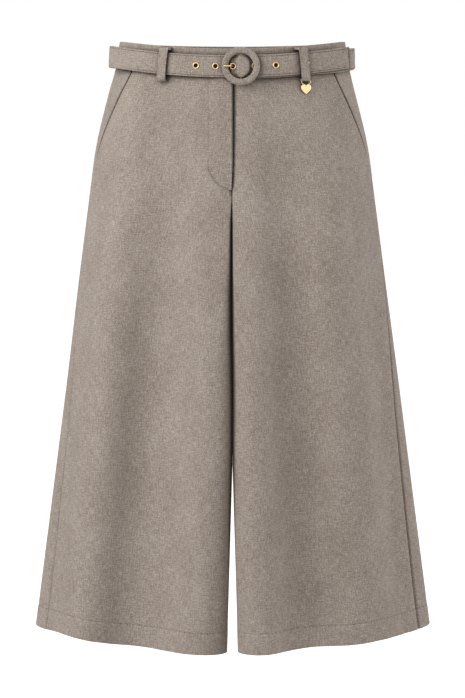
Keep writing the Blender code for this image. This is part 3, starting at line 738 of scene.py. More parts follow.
    def half_face(self, face: FaceSizes, depth: float) -> tuple:
        """One face of a half section from the side to its inner seam.

        Args:
            face: The front or the back.
            depth: Depth below the waist.
        Returns:
            The points, and the indices where the rounded corner and the inner wall start.
        """
        gap, wide, turned, inset = self.corner(face, depth)
        power = 2.0 / (self.waist_roundness + (self.hem_roundness - self.waist_roundness)
                       * blend(self.rounder_from, self.length, depth))
        angle = np.linspace(math.pi / 2, 0.0, 600)
        share = np.sin(angle) ** power
        reach = self.reach(face, depth) * np.cos(angle) ** power + self.folds(face, depth, share)
        across = (self.half(depth) - gap) * share
        end = float(reach[-1]) - inset
        reach = reach - self.drop(face, turned, across / wide)
        corner = int(np.searchsorted(-across, -wide * turned))
        x = gap + across
        last = len(x) - 1
        if inset > face.corner_deep:
            wall = np.linspace(reach[-1], end, 40)[1:]
            x = np.concatenate([x, np.full(len(wall), gap)])
            reach = np.concatenate([reach, wall])
        return np.column_stack([x, face.sign * reach]), min(corner, last), last

    def soften(self, points: np.ndarray, side: int, wide: float) -> np.ndarray:
        """Round off the outermost part of a section and keep its width.

        Args:
            points: Places of the section.
            side: Index of the outermost place.
            wide: Its distance from the centre plane.
        Returns:
            The softened places.
        """
        length = lengths(points)
        girth = length - length[side]
        fine, seen, blurred, softened = 10, 12, 4, 3.0      # steps in the softening's width, then widths
        step = self.softening / fine
        near = step * np.arange(-seen * fine, seen * fine + 1)
        kernel = np.exp(-0.5 * (step * np.arange(-blurred * fine, blurred * fine + 1) / self.softening) ** 2)
        weight = np.exp(-((girth / (softened * self.softening)) ** 4))
        result = points.copy()
        for axis in (0, 1):
            even = np.convolve(np.interp(near, girth, points[:, axis]), kernel / kernel.sum(), mode="same")
            result[:, axis] += weight * (np.interp(girth, near, even) - points[:, axis])
        result[:, 0] += weight * (wide - result[side, 0])
        return result

    def line(self, depth: float) -> Line:
        """The half section of the cloth, worked out once for each depth.

        Args:
            depth: Depth below the waist.
        Returns:
            The half section, from the front's inner end to the back's.
        """
        depth = round(float(depth), 6)
        if depth not in self._lines:
            front, front_corner, front_wall = self.half_face(FRONT, depth)
            back, back_corner, back_wall = self.half_face(BACK, depth)
            side = len(front) - 1
            points = self.soften(np.vstack([front[::-1], back[1:]]), side, float(self.half(depth)))
            length = lengths(points)
            girth = length - length[side]
            marks = {-1: [girth[side - i] for i in (front_corner, front_wall, side)],
                     1: [girth[side + i] for i in (back_corner, back_wall, len(back) - 1)]}
            self._lines[depth] = Line(girth, points[:, 0], points[:, 1], marks)
        return self._lines[depth]

    def level(self, depth: float, x: np.ndarray, y: np.ndarray) -> np.ndarray:
        """Height of places of the cloth, with the waist's dip and the hem's rise.

        Args:
            depth: Depth below the waist.
            x: Distances from the centre plane.
            y: Places from front to back.
        Returns:
            The heights.
        """
        front, back = self.reach(FRONT, depth), self.reach(BACK, depth)
        dip = np.where(y < 0.0, self.dip_front * (y / front) ** 2, self.dip_back * (y / back) ** 2)
        rise = self.hem_rise * blend(self.rise_starts, 1.0, x / self.half(depth)) * (depth / self.length) ** 3
        lip = self.lip * (1.0 - blend(0.0, self.lip_share * self.band_deep, depth))
        return -depth - dip * (1.0 - blend(0.0, self.dip_fades_by, depth)) + lip + rise

    def places(self, depths: Sequence, girths: np.ndarray, side: int) -> np.ndarray:
        """Places on the cloth's outer face.

        Args:
            depths: One depth a row.
            girths: Rows by columns.
            side: 1 for the wearer's left, -1 for the right.
        Returns:
            Rows by columns by three.
        """
        result = np.empty(girths.shape + (3,))
        for i, depth in enumerate(depths):
            line = self.line(depth)
            x = np.interp(girths[i], line.girth, line.x)
            y = np.interp(girths[i], line.girth, line.y)
            inwards = blend(*self.front_from, y)
            wave = self.sway * inwards * (1.0 - blend(*self.sway_ends, depth))
            wave = wave - self.seam_off * (1.0 - inwards) * (1.0 - blend(*self.off_ends, depth))
            wave = wave * bell(x, self.sway_wide) * blend(*self.sway_starts, depth)
            y = self.sharpen(side, depth, x, y)
            low = self.hem_left if side > 0 else self.hem_right
            low = np.interp(x / self.half(depth), np.linspace(0.0, 1.0, len(low)), low) * MM
            low = low * (depth / self.length) ** 6 * (1.0 - blend(-0.01, 0.06, y))
            if side < 0:
                hip = self.fuller_hip * blend(*self.hip_starts, depth) * (1.0 - blend(*self.hip_ends, depth))
                inner = x - self.corner(FRONT, depth)[0]
                back = self.falls_back * blend(*self.back_starts, depth) * np.exp(-inner / self.back_wide)
                y = y + back * (1.0 - blend(-0.02, 0.04, y))
                x = x + hip * blend(self.hip_share, 1.0, x / self.half(depth))
            result[i] = np.column_stack([side * x + wave, y, self.level(depth, x, y) - low])
        return result

    def sharpen(self, side: int, depth: float, x: np.ndarray, y: np.ndarray) -> np.ndarray:
        """Turn the front's inner corner in more sharply beside the crotch.

        Args:
            side: 1 for the wearer's left, -1 for the right.
            depth: Depth of the section.
            x: Distances from the centre plane.
            y: Places from front to back.
        Returns:
            The new places from front to back.
        """
        narrow = self.sharp_left if side > 0 else self.sharp_right
        share = float(np.interp(depth, self.sharp_depths, narrow))
        gap, wide, turned, _ = self.corner(FRONT, depth)
        soft, sharp = (self.drop(FRONT, turned, (x - gap) / reach) for reach in (wide, wide * share))
        return np.where(y < 0.0, y - (soft - sharp), y)

    def girth_at_x(self, depth: float, x: np.ndarray, face: FaceSizes) -> np.ndarray:
        """Find places on a face by how far they lie from the centre plane.

        Args:
            depth: Depth of the section.
            x: Distances from the centre plane.
            face: The front or the back.
        Returns:
            The girth of each place.
        """
        line = self.line(depth)
        half = line.girth * face.sign >= 0.0
        order = np.argsort(line.x[half], kind="stable")
        return np.interp(x, line.x[half][order], line.girth[half][order])

    def side_seam(self, depth: float) -> float:
        """Girth of the side seam, which swings forward towards the hem."""
        return -self.seam_forward * float(blend(*self.seam_swings, depth)) - 0.0010

    def slant(self, depth: float) -> float:
        """Girth left open between the side seam and the slant pocket's edge."""
        share = (self.pocket_end - depth) / (self.pocket_end - self.band_deep)
        return self.pocket_open * max(share, 0.0) ** self.pocket_curve


FORM = Form()


# Legs --------------------------------------------------------------------------------------
@dataclass(frozen=True)
class SoftFold:
    """A ridge laid on a panel, or a trough where high is negative."""

    x: tuple
    depth: tuple
    wide: float
    high: float

    def lift(self, x: np.ndarray, depth: np.ndarray) -> np.ndarray:
        """Height that the fold adds, fading out towards both ends.

        Args:
            x: Distances from the centre plane.
            depth: Depths below the waist.
        Returns:
            The height at each place.
        """
        run_x, run_d = self.x[1] - self.x[0], self.depth[1] - self.depth[0]
        share = ((x - self.x[0]) * run_x + (depth - self.depth[0]) * run_d) / (run_x ** 2 + run_d ** 2)
        share = np.clip(share, 0.0, 1.0)
        off = np.hypot(x - self.x[0] - share * run_x, depth - self.depth[0] - share * run_d)
        return self.high * bell(off, self.wide) * np.sin(math.pi * share) ** 0.7

    def on_leg(self, side: int) -> "SoftFold":
        """The same fold as it lies on one leg, so that the legs differ."""
        shift = 0.004 * side
        return SoftFold((self.x[0] + shift, self.x[1] - shift), (self.depth[0] + 4 * shift, self.depth[1]),
                        self.wide, self.high * (1.0 - 0.2 * side))


@dataclass
class LegPanel:
    """One leg's front or back: rolled into its seams, creased, darted and hemmed."""

    name: str
    face: FaceSizes
    side: int
    creases: Sequence[SoftFold]
    swell: tuple                # mm, heights of broad folds at even shares of the half width
    darts: tuple = ()           # (distance from the centre, length) of each waist dart
    wall: float = 1.5 * MM
    roll: tuple = (0.9 * MM, 2.1 * MM)      # the side seam's groove, on the right leg and on the left
    roll_wide: float = 1.7 * MM
    slit: tuple = ((3.2, 3.0), (1.2, 2.4))      # mm, depth and width of the front's centre groove, likewise
    slit_ends: tuple = (0.165, 0.185)
    hollow: tuple = (2.8, 6.0)      # mm, depth and width of the wider hollow round it
    hollow_ends: tuple = (0.09, 0.175)
    face_columns: int = 66
    corner_columns: int = 12
    wall_columns: int = 14
    edge: tuple = (0.0, 0.4, 0.9, 1.6, 2.5, 4.0, 6.0, 9.0)      # mm, columns beside a side seam

    def depths(self) -> np.ndarray:
        """Space the rows, close together at the crotch and beside the hem's sewing.

        Returns:
            The depth of each row.
        """
        slit = FORM.pocket_end - FORM.band_deep - FORM.seam
        top = FORM.pocket_end - slit * np.linspace(1.0, 0.0, 40) ** 1.5
        seat = np.linspace(FORM.pocket_end, FORM.notch, 4)
        turn = FORM.notch + (FORM.crotch - FORM.notch) * np.sin(np.linspace(0.0, math.pi / 2, 30))
        leg = np.linspace(FORM.crotch, FORM.length, 98)
        beside = np.array([-2.4, -1.5, -0.8, -0.3, 0.0, 0.3, 0.8, 1.5, 2.4])
        sewing = FORM.length - FORM.hem_deep + MM * beside
        return np.unique(np.round(np.concatenate([top, seat, turn, leg, sewing]), 5))

    def girths(self, depth: float) -> np.ndarray:
        """Place the columns of a row, from the side seam to the inner seam.

        Args:
            depth: Depth of the row.
        Returns:
            The girth of each column.
        """
        sign = self.face.sign
        corner, wall, end = FORM.line(depth).marks[sign]
        start = FORM.side_seam(depth) + sign * FORM.seam / 2
        if sign < 0:
            start -= FORM.slant(depth)
        if depth >= FORM.crotch:
            end -= sign * FORM.centre_gap
        wall = end - sign * max(abs(end - wall), 3.0 * MM)
        corner = wall - sign * max(abs(wall - corner), 6.0 * MM)
        edge = start + sign * MM * np.array(self.edge)
        return np.concatenate([
            edge[:-1],
            np.linspace(edge[-1], corner, self.face_columns),
            np.linspace(corner, wall, self.corner_columns + 1)[1:],
            np.linspace(wall, end, self.wall_columns + 1)[1:],
        ])

    def drape(self, x: np.ndarray, depth: np.ndarray, from_side: np.ndarray) -> np.ndarray:
        """Height of the soft folds, which stop short of every seam.

        Args:
            x: Distances from the centre plane.
            depth: Depths below the waist.
            from_side: Distances from the side seam along the girth.
        Returns:
            The height at each place.
        """
        lift = np.zeros(np.broadcast(x, depth).shape)
        for crease in self.creases:
            lift = lift + crease.lift(x, depth)
        growth = 0.15 + 0.85 * blend(0.04, 0.45, depth)
        for centre, high in zip(np.linspace(0.10, 0.98, len(self.swell)), self.swell):
            lift = lift + high * MM * growth * np.exp(-((x / FORM.half(depth) - centre) / 0.065) ** 2)
        return lift * blend(0.004, 0.022, x) * blend(0.0, 0.030, from_side)

    def relief(self, depth: np.ndarray, girths: np.ndarray, points: np.ndarray) -> np.ndarray:
        """Small heights over the panel's form.

        Args:
            depth: Depths as a column.
            girths: Girths of the grid.
            points: Places of the grid.
        Returns:
            The height at each place.
        """
        x = np.abs(points[..., 0])
        from_side = np.abs(girths - girths[:, :1])
        sewn = 1.0 - blend(FORM.pocket_end - 0.012, FORM.pocket_end, depth) if self.face.sign < 0 else 0.0
        # the side seam's groove with its puckers, and above it the pocket's folded edge
        roll = -self.roll[self.side > 0] * bell(from_side, self.roll_wide) * (1.0 - sewn)
        if self.face.sign < 0:
            roll = roll - 0.6 * MM * bell(from_side, 2.6 * MM) * (1.0 - blend(0.125, 0.150, depth))
        pucker = 0.10 * MM * np.sin(depth / (1.9 * MM)) * bell(from_side, 6.0 * MM) * (1.0 - sewn)
        folded = 0.35 * MM * bell(from_side - 3.0 * MM, 3.5 * MM) * sewn
        # the hem's row of stitches, and the fullness of the fold below it
        below = depth - (FORM.length - FORM.hem_deep)
        ripple = 1.0 + 0.5 * np.sin(girths / (1.5 * MM))
        hem = -0.45 * MM * ripple * bell(below, 0.8 * MM) + 0.30 * MM * blend(0.0, 3.0 * MM, below)
        lift = roll + pucker + folded + hem + self.drape(x, depth, from_side)
        # each dart is a groove that runs out in a soft swell
        for across, long in self.darts:
            share = np.clip((depth - FORM.band_deep) / long, 0.0, 1.0)
            fade = (1.0 - share) * (depth < FORM.band_deep + long)
            at = x - across - 6.0 * MM * share
            lift = lift - 0.8 * MM * bell(at, 0.8 * MM) * fade + 0.5 * MM * bell(at, 7.0 * MM) * fade
        # the centre seam's groove beside the fly, in a wider hollow
        if self.face.sign < 0:
            grooves = ((self.slit[self.side > 0], self.slit_ends), (self.hollow, self.hollow_ends))
            slit, hollow = (deep * bell(x, wide * MM) * (1.0 - blend(*ends, depth))
                            for (deep, wide), ends in grooves)
            lift = lift - MM * (slit + hollow)
        return lift

    def build(self) -> None:
        """Make the panel."""
        depths = self.depths()
        girths = np.array([self.girths(depth) for depth in depths])
        points = FORM.places(depths, girths, self.side)
        normals = outward(points, (self.side * 0.09, 0.0, -0.35))
        points = points + normals * self.relief(depths[:, None], girths, points)[..., None]
        grain = grain_of(girths - FORM.side_seam(0.0), depths) + 0.4 * (2 + self.side + self.face.sign)
        Sheet(self.name, points, grain, normals, self.wall).build(
            "hung", f"waistband_front_{SIDES[self.side]}" if self.face.sign < 0 else "waistband_back")


@dataclass
class Hem:
    """The turned-up hem inside a leg, and the blind stitches that hold it."""

    side: int
    panels: tuple
    under: float = 1.9 * MM     # the ring lies this far inside the leg's outer face
    wall: float = 1.2 * MM

    def build(self) -> None:
        """Make the ring of cloth and its stitches."""
        word = SIDES[self.side]
        depths = np.linspace(FORM.length - FORM.hem_deep, FORM.length - 2.0 * FORM.seam, 9)
        halves = [np.array([panel.girths(depth) for depth in depths]) for panel in self.panels]
        points = [FORM.places(depths, half, self.side) for half in halves]
        drapes = [panel.drape(np.abs(place[..., 0]), depths[:, None], np.abs(half - half[:, :1]))
                  for panel, half, place in zip(self.panels, halves, points)]
        girths, lift, points = (
            np.concatenate([front[:, ::-2], back[:, 1:-1:2], front[:, -1:]], axis=1)
            for front, back in (halves, drapes, points))
        normals = outward(points, (self.side * 0.11, 0.0, -0.70))
        points = points + normals * lift[..., None]
        Sheet(f"cloth_hem_{word}", points - normals * self.under, grain_of(girths, depths), normals,
              self.wall, closed=True, rounded=0.3 * MM).build("hung", f"front_{word}", f"back_{word}")
        stitches = StitchRow(f"hem_stitches_{word}", length=1.6 * MM, pitch=7.5 * MM, thick=0.20 * MM)
        stitches.along(points[0] - normals[0] * 0.20 * MM, normals[0])
        stitches.build()


@dataclass
class PocketFacing:
    """The cloth seen in a slant pocket's opening."""

    side: int
    back: float = 2.5 * MM      # depth under the panel's face
    rise: float = 1.8 * MM      # beyond the pocket's slit it comes up nearly level with the panel
    wall: float = 1.2 * MM
    under: float = 14.0 * MM
    past_seam: float = 5.0 * MM
    below: float = 10.0 * MM

    def build(self) -> None:
        """Make the facing."""
        word = SIDES[self.side]
        depths = np.linspace(FORM.band_deep + FORM.seam, FORM.pocket_end + self.below, 40)
        edges = np.array([FORM.side_seam(d) - FORM.slant(d) for d in depths])
        seams = np.array([FORM.side_seam(d) for d in depths])[:, None]
        girths = np.array([np.concatenate([
            np.linspace(seam + self.past_seam, seam + 0.2 * MM, 4),
            np.linspace(seam - 0.4 * MM, seam - 1.6 * MM, 4),
            np.linspace(min(seam - 2.4 * MM, edge + 3.4 * MM), edge + 3.4 * MM, 12),
            edge + MM * np.array([3.0, 2.7, 2.4, 2.1, 1.8, 1.2, 0.0]),
            np.linspace(edge - 3.0 * MM, edge - self.under, 4)]) for seam, edge in zip(seams[:, 0], edges)])
        girths = np.sort(girths, axis=1)[:, ::-1] - 0.05 * MM * np.arange(girths.shape[1])
        points = FORM.places(depths, girths, self.side)
        normals = outward(points, (self.side * 0.07, 0.0, -0.08))
        rise = self.rise * blend(1.6 * MM, 3.6 * MM, girths - edges[:, None])
        points = points + normals * (rise * blend(0.2 * MM, 1.5 * MM, seams - girths))[..., None]
        Sheet(f"cloth_pocket_facing_{word}", points - normals * self.back, grain_of(girths, depths), normals,
              self.wall, even=False, rounded=0.0).build("hung", f"waistband_front_{word}")


@dataclass
class Legs:
    """Both legs, each with its own folds, its hem and its pocket facing."""

    front_creases: tuple = (SoftFold((0.020, 0.060), (0.10, 0.34), 0.012, 0.4 * MM),
                            SoftFold((0.055, 0.075), (0.28, 0.66), 0.014, 0.4 * MM),
                            SoftFold((0.150, 0.165), (0.30, 0.68), 0.013, -0.4 * MM))
    back_creases: tuple = (SoftFold((0.030, 0.085), (0.22, 0.36), 0.014, -0.8 * MM),
                           SoftFold((0.110, 0.120), (0.16, 0.60), 0.018, 0.7 * MM),
                           SoftFold((0.060, 0.070), (0.34, 0.67), 0.014, -0.8 * MM),
                           SoftFold((0.150, 0.175), (0.38, 0.66), 0.014, 0.6 * MM))
    front_swells: tuple = ((-2.0, -3.9, -5.5, -8.4, -9.6, -10.0, -8.1, -3.7, 3.5, 5.5, 1.5, -1.5),
                           (2.0, 2.2, -6.3, -9.6, -3.8, 4.2, 8.2, 7.2, 2.4, -1.2, -2.8, -3.5))
    back_swells: tuple = ((-1.1, 2.7, 0.5, -4.2, -4.5, -1.0, 1.9, 2.8, 2.6, 1.5, 1.0, 0.2),
                          (-1.2, -2.3, -3.3, -4.4, -4.6, -3.6, -1.9, 2.6, 3.6, 2.2, 1.6, 1.0))
    # mm, on the right leg and on the left, from the middle to the side
    back_dart: tuple = (0.062, 0.105)       # distance from the centre, and length

    def build(self) -> LegPanel:
        """Make both legs.

        Returns:
            The front under the fly.
        """
        for side, word in SIDES.items():
            front, back = ([crease.on_leg(side) for crease in creases]
                           for creases in (self.front_creases, self.back_creases))
            panels = (LegPanel(f"cloth_front_{word}", FRONT, side, front, self.front_swells[side > 0]),
                      LegPanel(f"cloth_back_{word}", BACK, side, back, self.back_swells[side > 0],
                               (self.back_dart,)))
            for panel in panels:
                panel.build()
            Hem(side, panels).build()
            PocketFacing(side).build()
        return panels[0]


@dataclass
class Fly:
    """The fly's overlap on the wearer's right, with its J of stitching."""

    panel: LegPanel
    wide: float = 0.0290
    end: float = 0.1715
    bend: float = 0.032
    short: float = 0.8 * MM     # the free edge stops this far from the centre
    wall: float = 1.0 * MM
    sewn_in: float = 1.3 * MM   # the stitching's distance inside the J

    def edge(self, depth: float) -> float:
        """Distance of the J's edge from the centre."""
        share = min(max((depth - self.end + self.bend) / self.bend, 0.0), 1.0)
        return self.wide * math.sqrt(1.0 - share * share)

    def inside(self, x: np.ndarray, depth: np.ndarray) -> np.ndarray:
        """Measure how far places lie inside the J's edge.

        Args:
            x: Distances from the centre plane.
            depth: Depths below the waist.
        Returns:
            The distance of each place from the edge.
        """
        low = np.maximum(depth - self.end + self.bend, 0.0)
        middle = (self.wide + self.bend) / 2
        curved = (1.0 - np.hypot(x / self.wide, low / self.bend)) * middle
        return np.where(low > 0.0, curved, self.wide - x)

    def build(self) -> None:
        """Make the flap, thin at the J and full at its free edge, and sew it."""
        straight = np.linspace(FORM.band_deep + FORM.seam, self.end - self.bend, 34)
        turn = self.end - self.bend * (1.0 - np.sin(np.radians(np.linspace(3.0, 87.0, 30))))
        depths = np.concatenate([straight, turn])
        share = 1.0 - np.linspace(0.0, 1.0, 44) ** 1.4
        across = np.array([self.short + (self.edge(depth) - self.short) * share for depth in depths])
        girths = np.array([FORM.girth_at_x(d, row, FRONT) for d, row in zip(depths, across)])
        points = FORM.places(depths, girths, -1)
        inside = np.maximum(self.inside(across, depths[:, None]), 0.0)
        normals = outward(points, (0.0, 0.0, -0.1))
        full = blend(0.0, 14.0 * MM, inside)
        curve = 0.05 + 0.95 * blend(self.end - 1.6 * self.bend, self.end - 0.7 * self.bend, depths)[:, None]
        # the panel's folds, the flap's own thickness growing from the J, and the stitches' groove in it
        height = self.panel.drape(across, depths[:, None], np.full(across.shape, 1.0))
        height = height + (0.30 * curve - 0.06 + 1.20 * full) * MM
        height = height - 0.55 * MM * curve * bell(inside - self.sewn_in, 0.8 * MM)
        height = height + 0.20 * MM * bell(across - self.short, 3.0 * MM)
        Sheet("cloth_fly_flap", points + normals * height[..., None], grain_of(across, depths), normals,
              self.wall, rounded=0.0, thin=0.06 + 0.94 * full).build("hung", "waistband_front_right")
        self.sew()

    def sew(self) -> None:
        """Run the J of stitches just inside the flap's edge."""
        line = []
        for depth in np.linspace(FORM.band_deep + 4.0 * MM, self.end - self.bend, 40):
            line.append((self.wide - self.sewn_in, depth))
        for angle in np.radians(np.linspace(4.0, 84.0, 40)):
            line.append(((self.wide - self.sewn_in) * math.cos(angle),
                         self.end - self.bend + (self.bend - self.sewn_in) * math.sin(angle)))
        rows = [FORM.places([d], FORM.girth_at_x(d, np.array([[x]]), FRONT), -1)[0, 0] for x, d in line]
        under = self.panel.drape(*np.array(line).T, np.full(len(line), 1.0))[:, None]
        line = np.array(rows)
        out = np.tile((0.0, -1.0, 0.0), (len(line), 1))
        stitches = StitchRow("fly_stitches", length=2.2 * MM, pitch=2.9 * MM, thick=0.21 * MM)
        proud = MM * np.interp(np.arange(len(line)), (0, 32, 46), (-0.14, -0.14, 0.16))[:, None]
        stitches.along(line + out * (proud + under), out)
        stitches.build()


@dataclass
class Waistband:
    """The waistband: two fronts that meet under the buckle, and a back, each folded along its top."""

    wall: float = 2.4 * MM
    rows: int = 16
    columns: int = 90

    def piece(self, name: str, girths: list) -> None:
        """Make one piece.

        Args:
            name: The piece's name.
            girths: Runs of (girths, side), joined end to end.
        """
        depths = np.linspace(0.0, FORM.band_deep, self.rows)
        runs, grain_runs = [], []
        for run, side in girths:
            block = np.tile(run, (self.rows, 1))
            runs.append(FORM.places(depths, block, side))
            grain_runs.append(grain_of(block * side, depths))
        points, grain = np.concatenate(runs, axis=1), np.concatenate(grain_runs, axis=1)
        normals = outward(points, (0.0, 0.0, -0.02))
        depth = depths[:, None]
        puff = 0.25 * MM * np.sin(math.pi * np.clip(depth / FORM.band_deep, 0.0, 1.0))
        wander = 0.18 * MM * np.sin(grain[..., 0] / (11.0 * MM)) * bell(depth - 5.0 * MM, 8.0 * MM)
        points = points + normals * (puff + wander)[..., None]
        item = Sheet("cloth_" + name, points, grain[..., ::-1] + 0.3, normals, self.wall,
                     rounded=0.9 * MM).build("stretched", "belt_strap")
        # the wall's inner face takes the darker suiting: painted shade
        item.data.materials.append(Finish.INSIDE_SHADE.material())
        item.modifiers["wall"].material_offset = 1

    def build(self) -> None:
        """Make the three pieces."""
        seam, marks = FORM.side_seam(0.0), FORM.line(0.0).marks
        front = np.linspace(seam - FORM.seam / 2, marks[-1][2], self.columns)
        back = np.linspace(seam + FORM.seam / 2, marks[1][2], self.columns)
        self.piece("waistband_front_left", [(front[::-1], 1)])
        self.piece("waistband_front_right", [(front, -1)])
        self.piece("waistband_back", [(back, 1), (back[-2::-1], -1)])


# Belt --------------------------------------------------------------------------------------
@dataclass
class BeltLine:
    """The belt's course round the waist and over its own end."""

    wide: float = 25.4 * MM
    thick: float = 2.4 * MM
    side: float = 0.1445            # half sizes of the inner turn's plan
    front: float = 0.0940
    back: float = 0.1008
    middle_depth: float = 0.0166
    dip_front: float = 0.0141
    layer: float = 2.9 * MM         # how far the lap lies off the inner turn
    climb: tuple = (-0.014, 0.001)      # where the lap rises, from the centre front
    drop_at: tuple = (0.090, 0.135, 0.165, 0.270)       # lengths along the strap, and how far it
    drop: tuple = (1.4 * MM, 3.0 * MM, 3.0 * MM, 0.0)   # sags there under the lap
    past_bar: float = 3.0 * MM
    tip_x: float = 0.1333
    bump: float = 3.2 * MM          # how far the strap rises over the bar
    bump_half: float = 5.6 * MM
    bar_x: float = 9.6 * MM
    _ring: list = field(default_factory=list)

    def ring(self) -> tuple:
        """Work out the inner turn's plan, once.

        Returns:
            Arc lengths from the centre front, x and y.
        """
        if not self._ring:
            angle = np.linspace(0.0, 2.0 * math.pi, 1441)
            power = 2.0 / FORM.waist_roundness
            sine, cosine = np.sin(angle), np.cos(angle)
            x = self.side * np.sign(sine) * np.abs(sine) ** power
            y = -np.where(cosine > 0.0, self.front, self.back) * np.sign(cosine) * np.abs(cosine) ** power
            self._ring[:] = [np.concatenate([[0.0], np.cumsum(np.hypot(np.diff(x), np.diff(y)))]), x, y]
        return tuple(self._ring)

    def turn(self) -> float:
        """Length of one turn."""
        return float(self.ring()[0][-1])

    def tip(self) -> float:
        """Arc length of the strap's tip."""
        return self.turn() + self.along_x(self.tip_x)

    def along_x(self, x: float) -> float:
        """Arc length from the centre front to a place of the front with this x."""
        length, xs, _ = self.ring()
        quarter = len(xs) // 4 + 1
        return math.copysign(float(np.interp(abs(x), xs[:quarter], length[:quarter])), x)

    def plan(self, along: float) -> tuple:
        """Find a place of the inner turn.

        Args:
            along: Arc length from the centre front.
        Returns:
            The place and its way out, both level.
        """
        length, x, y = self.ring()
        turn, step = along % length[-1], 2.0 * MM
        ahead, behind = (turn + step) % length[-1], (turn - step) % length[-1]
        run = Vector((np.interp(ahead, length, x) - np.interp(behind, length, x),
                      np.interp(ahead, length, y) - np.interp(behind, length, y), 0.0)).normalized()
        return (Vector((np.interp(turn, length, x), np.interp(turn, length, y), 0.0)),
                Vector((run.y, -run.x, 0.0)))

    def dip(self, y: float) -> float:
        """The waist line's drop at this y of the belt."""
        if y < 0.0:
            return FORM.dip_front * (y / self.front) ** 2
        return FORM.dip_back * (y / self.back) ** 2

    def middle(self, along: float) -> float:
        """Height of the strap's middle line."""
        point, _ = self.plan(along)
        return -self.middle_depth - self.dip(point.y) * (
            self.dip_front / FORM.dip_front if point.y < 0.0 else 1.0)

    def lift(self, along: float) -> float:
        """How far the strap has risen off the inner turn."""
        x = along - self.turn()
        over = self.bump * (1.0 - float(blend(0.0, self.bump_half, abs(x - self.bar_x))))
        return self.layer * float(blend(*self.climb, x)) + over

    def centre(self, along: float) -> tuple:
        """Find the strap's middle.

        Args:
            along: Arc length from the centre front.
        Returns:
            The middle and its way out.
        """
        point, out = self.plan(along)
        centre = point + out * self.lift(along)
        centre.z = self.middle(along) - float(np.interp(along, self.drop_at, self.drop))
        return centre, out


BELT = BeltLine()


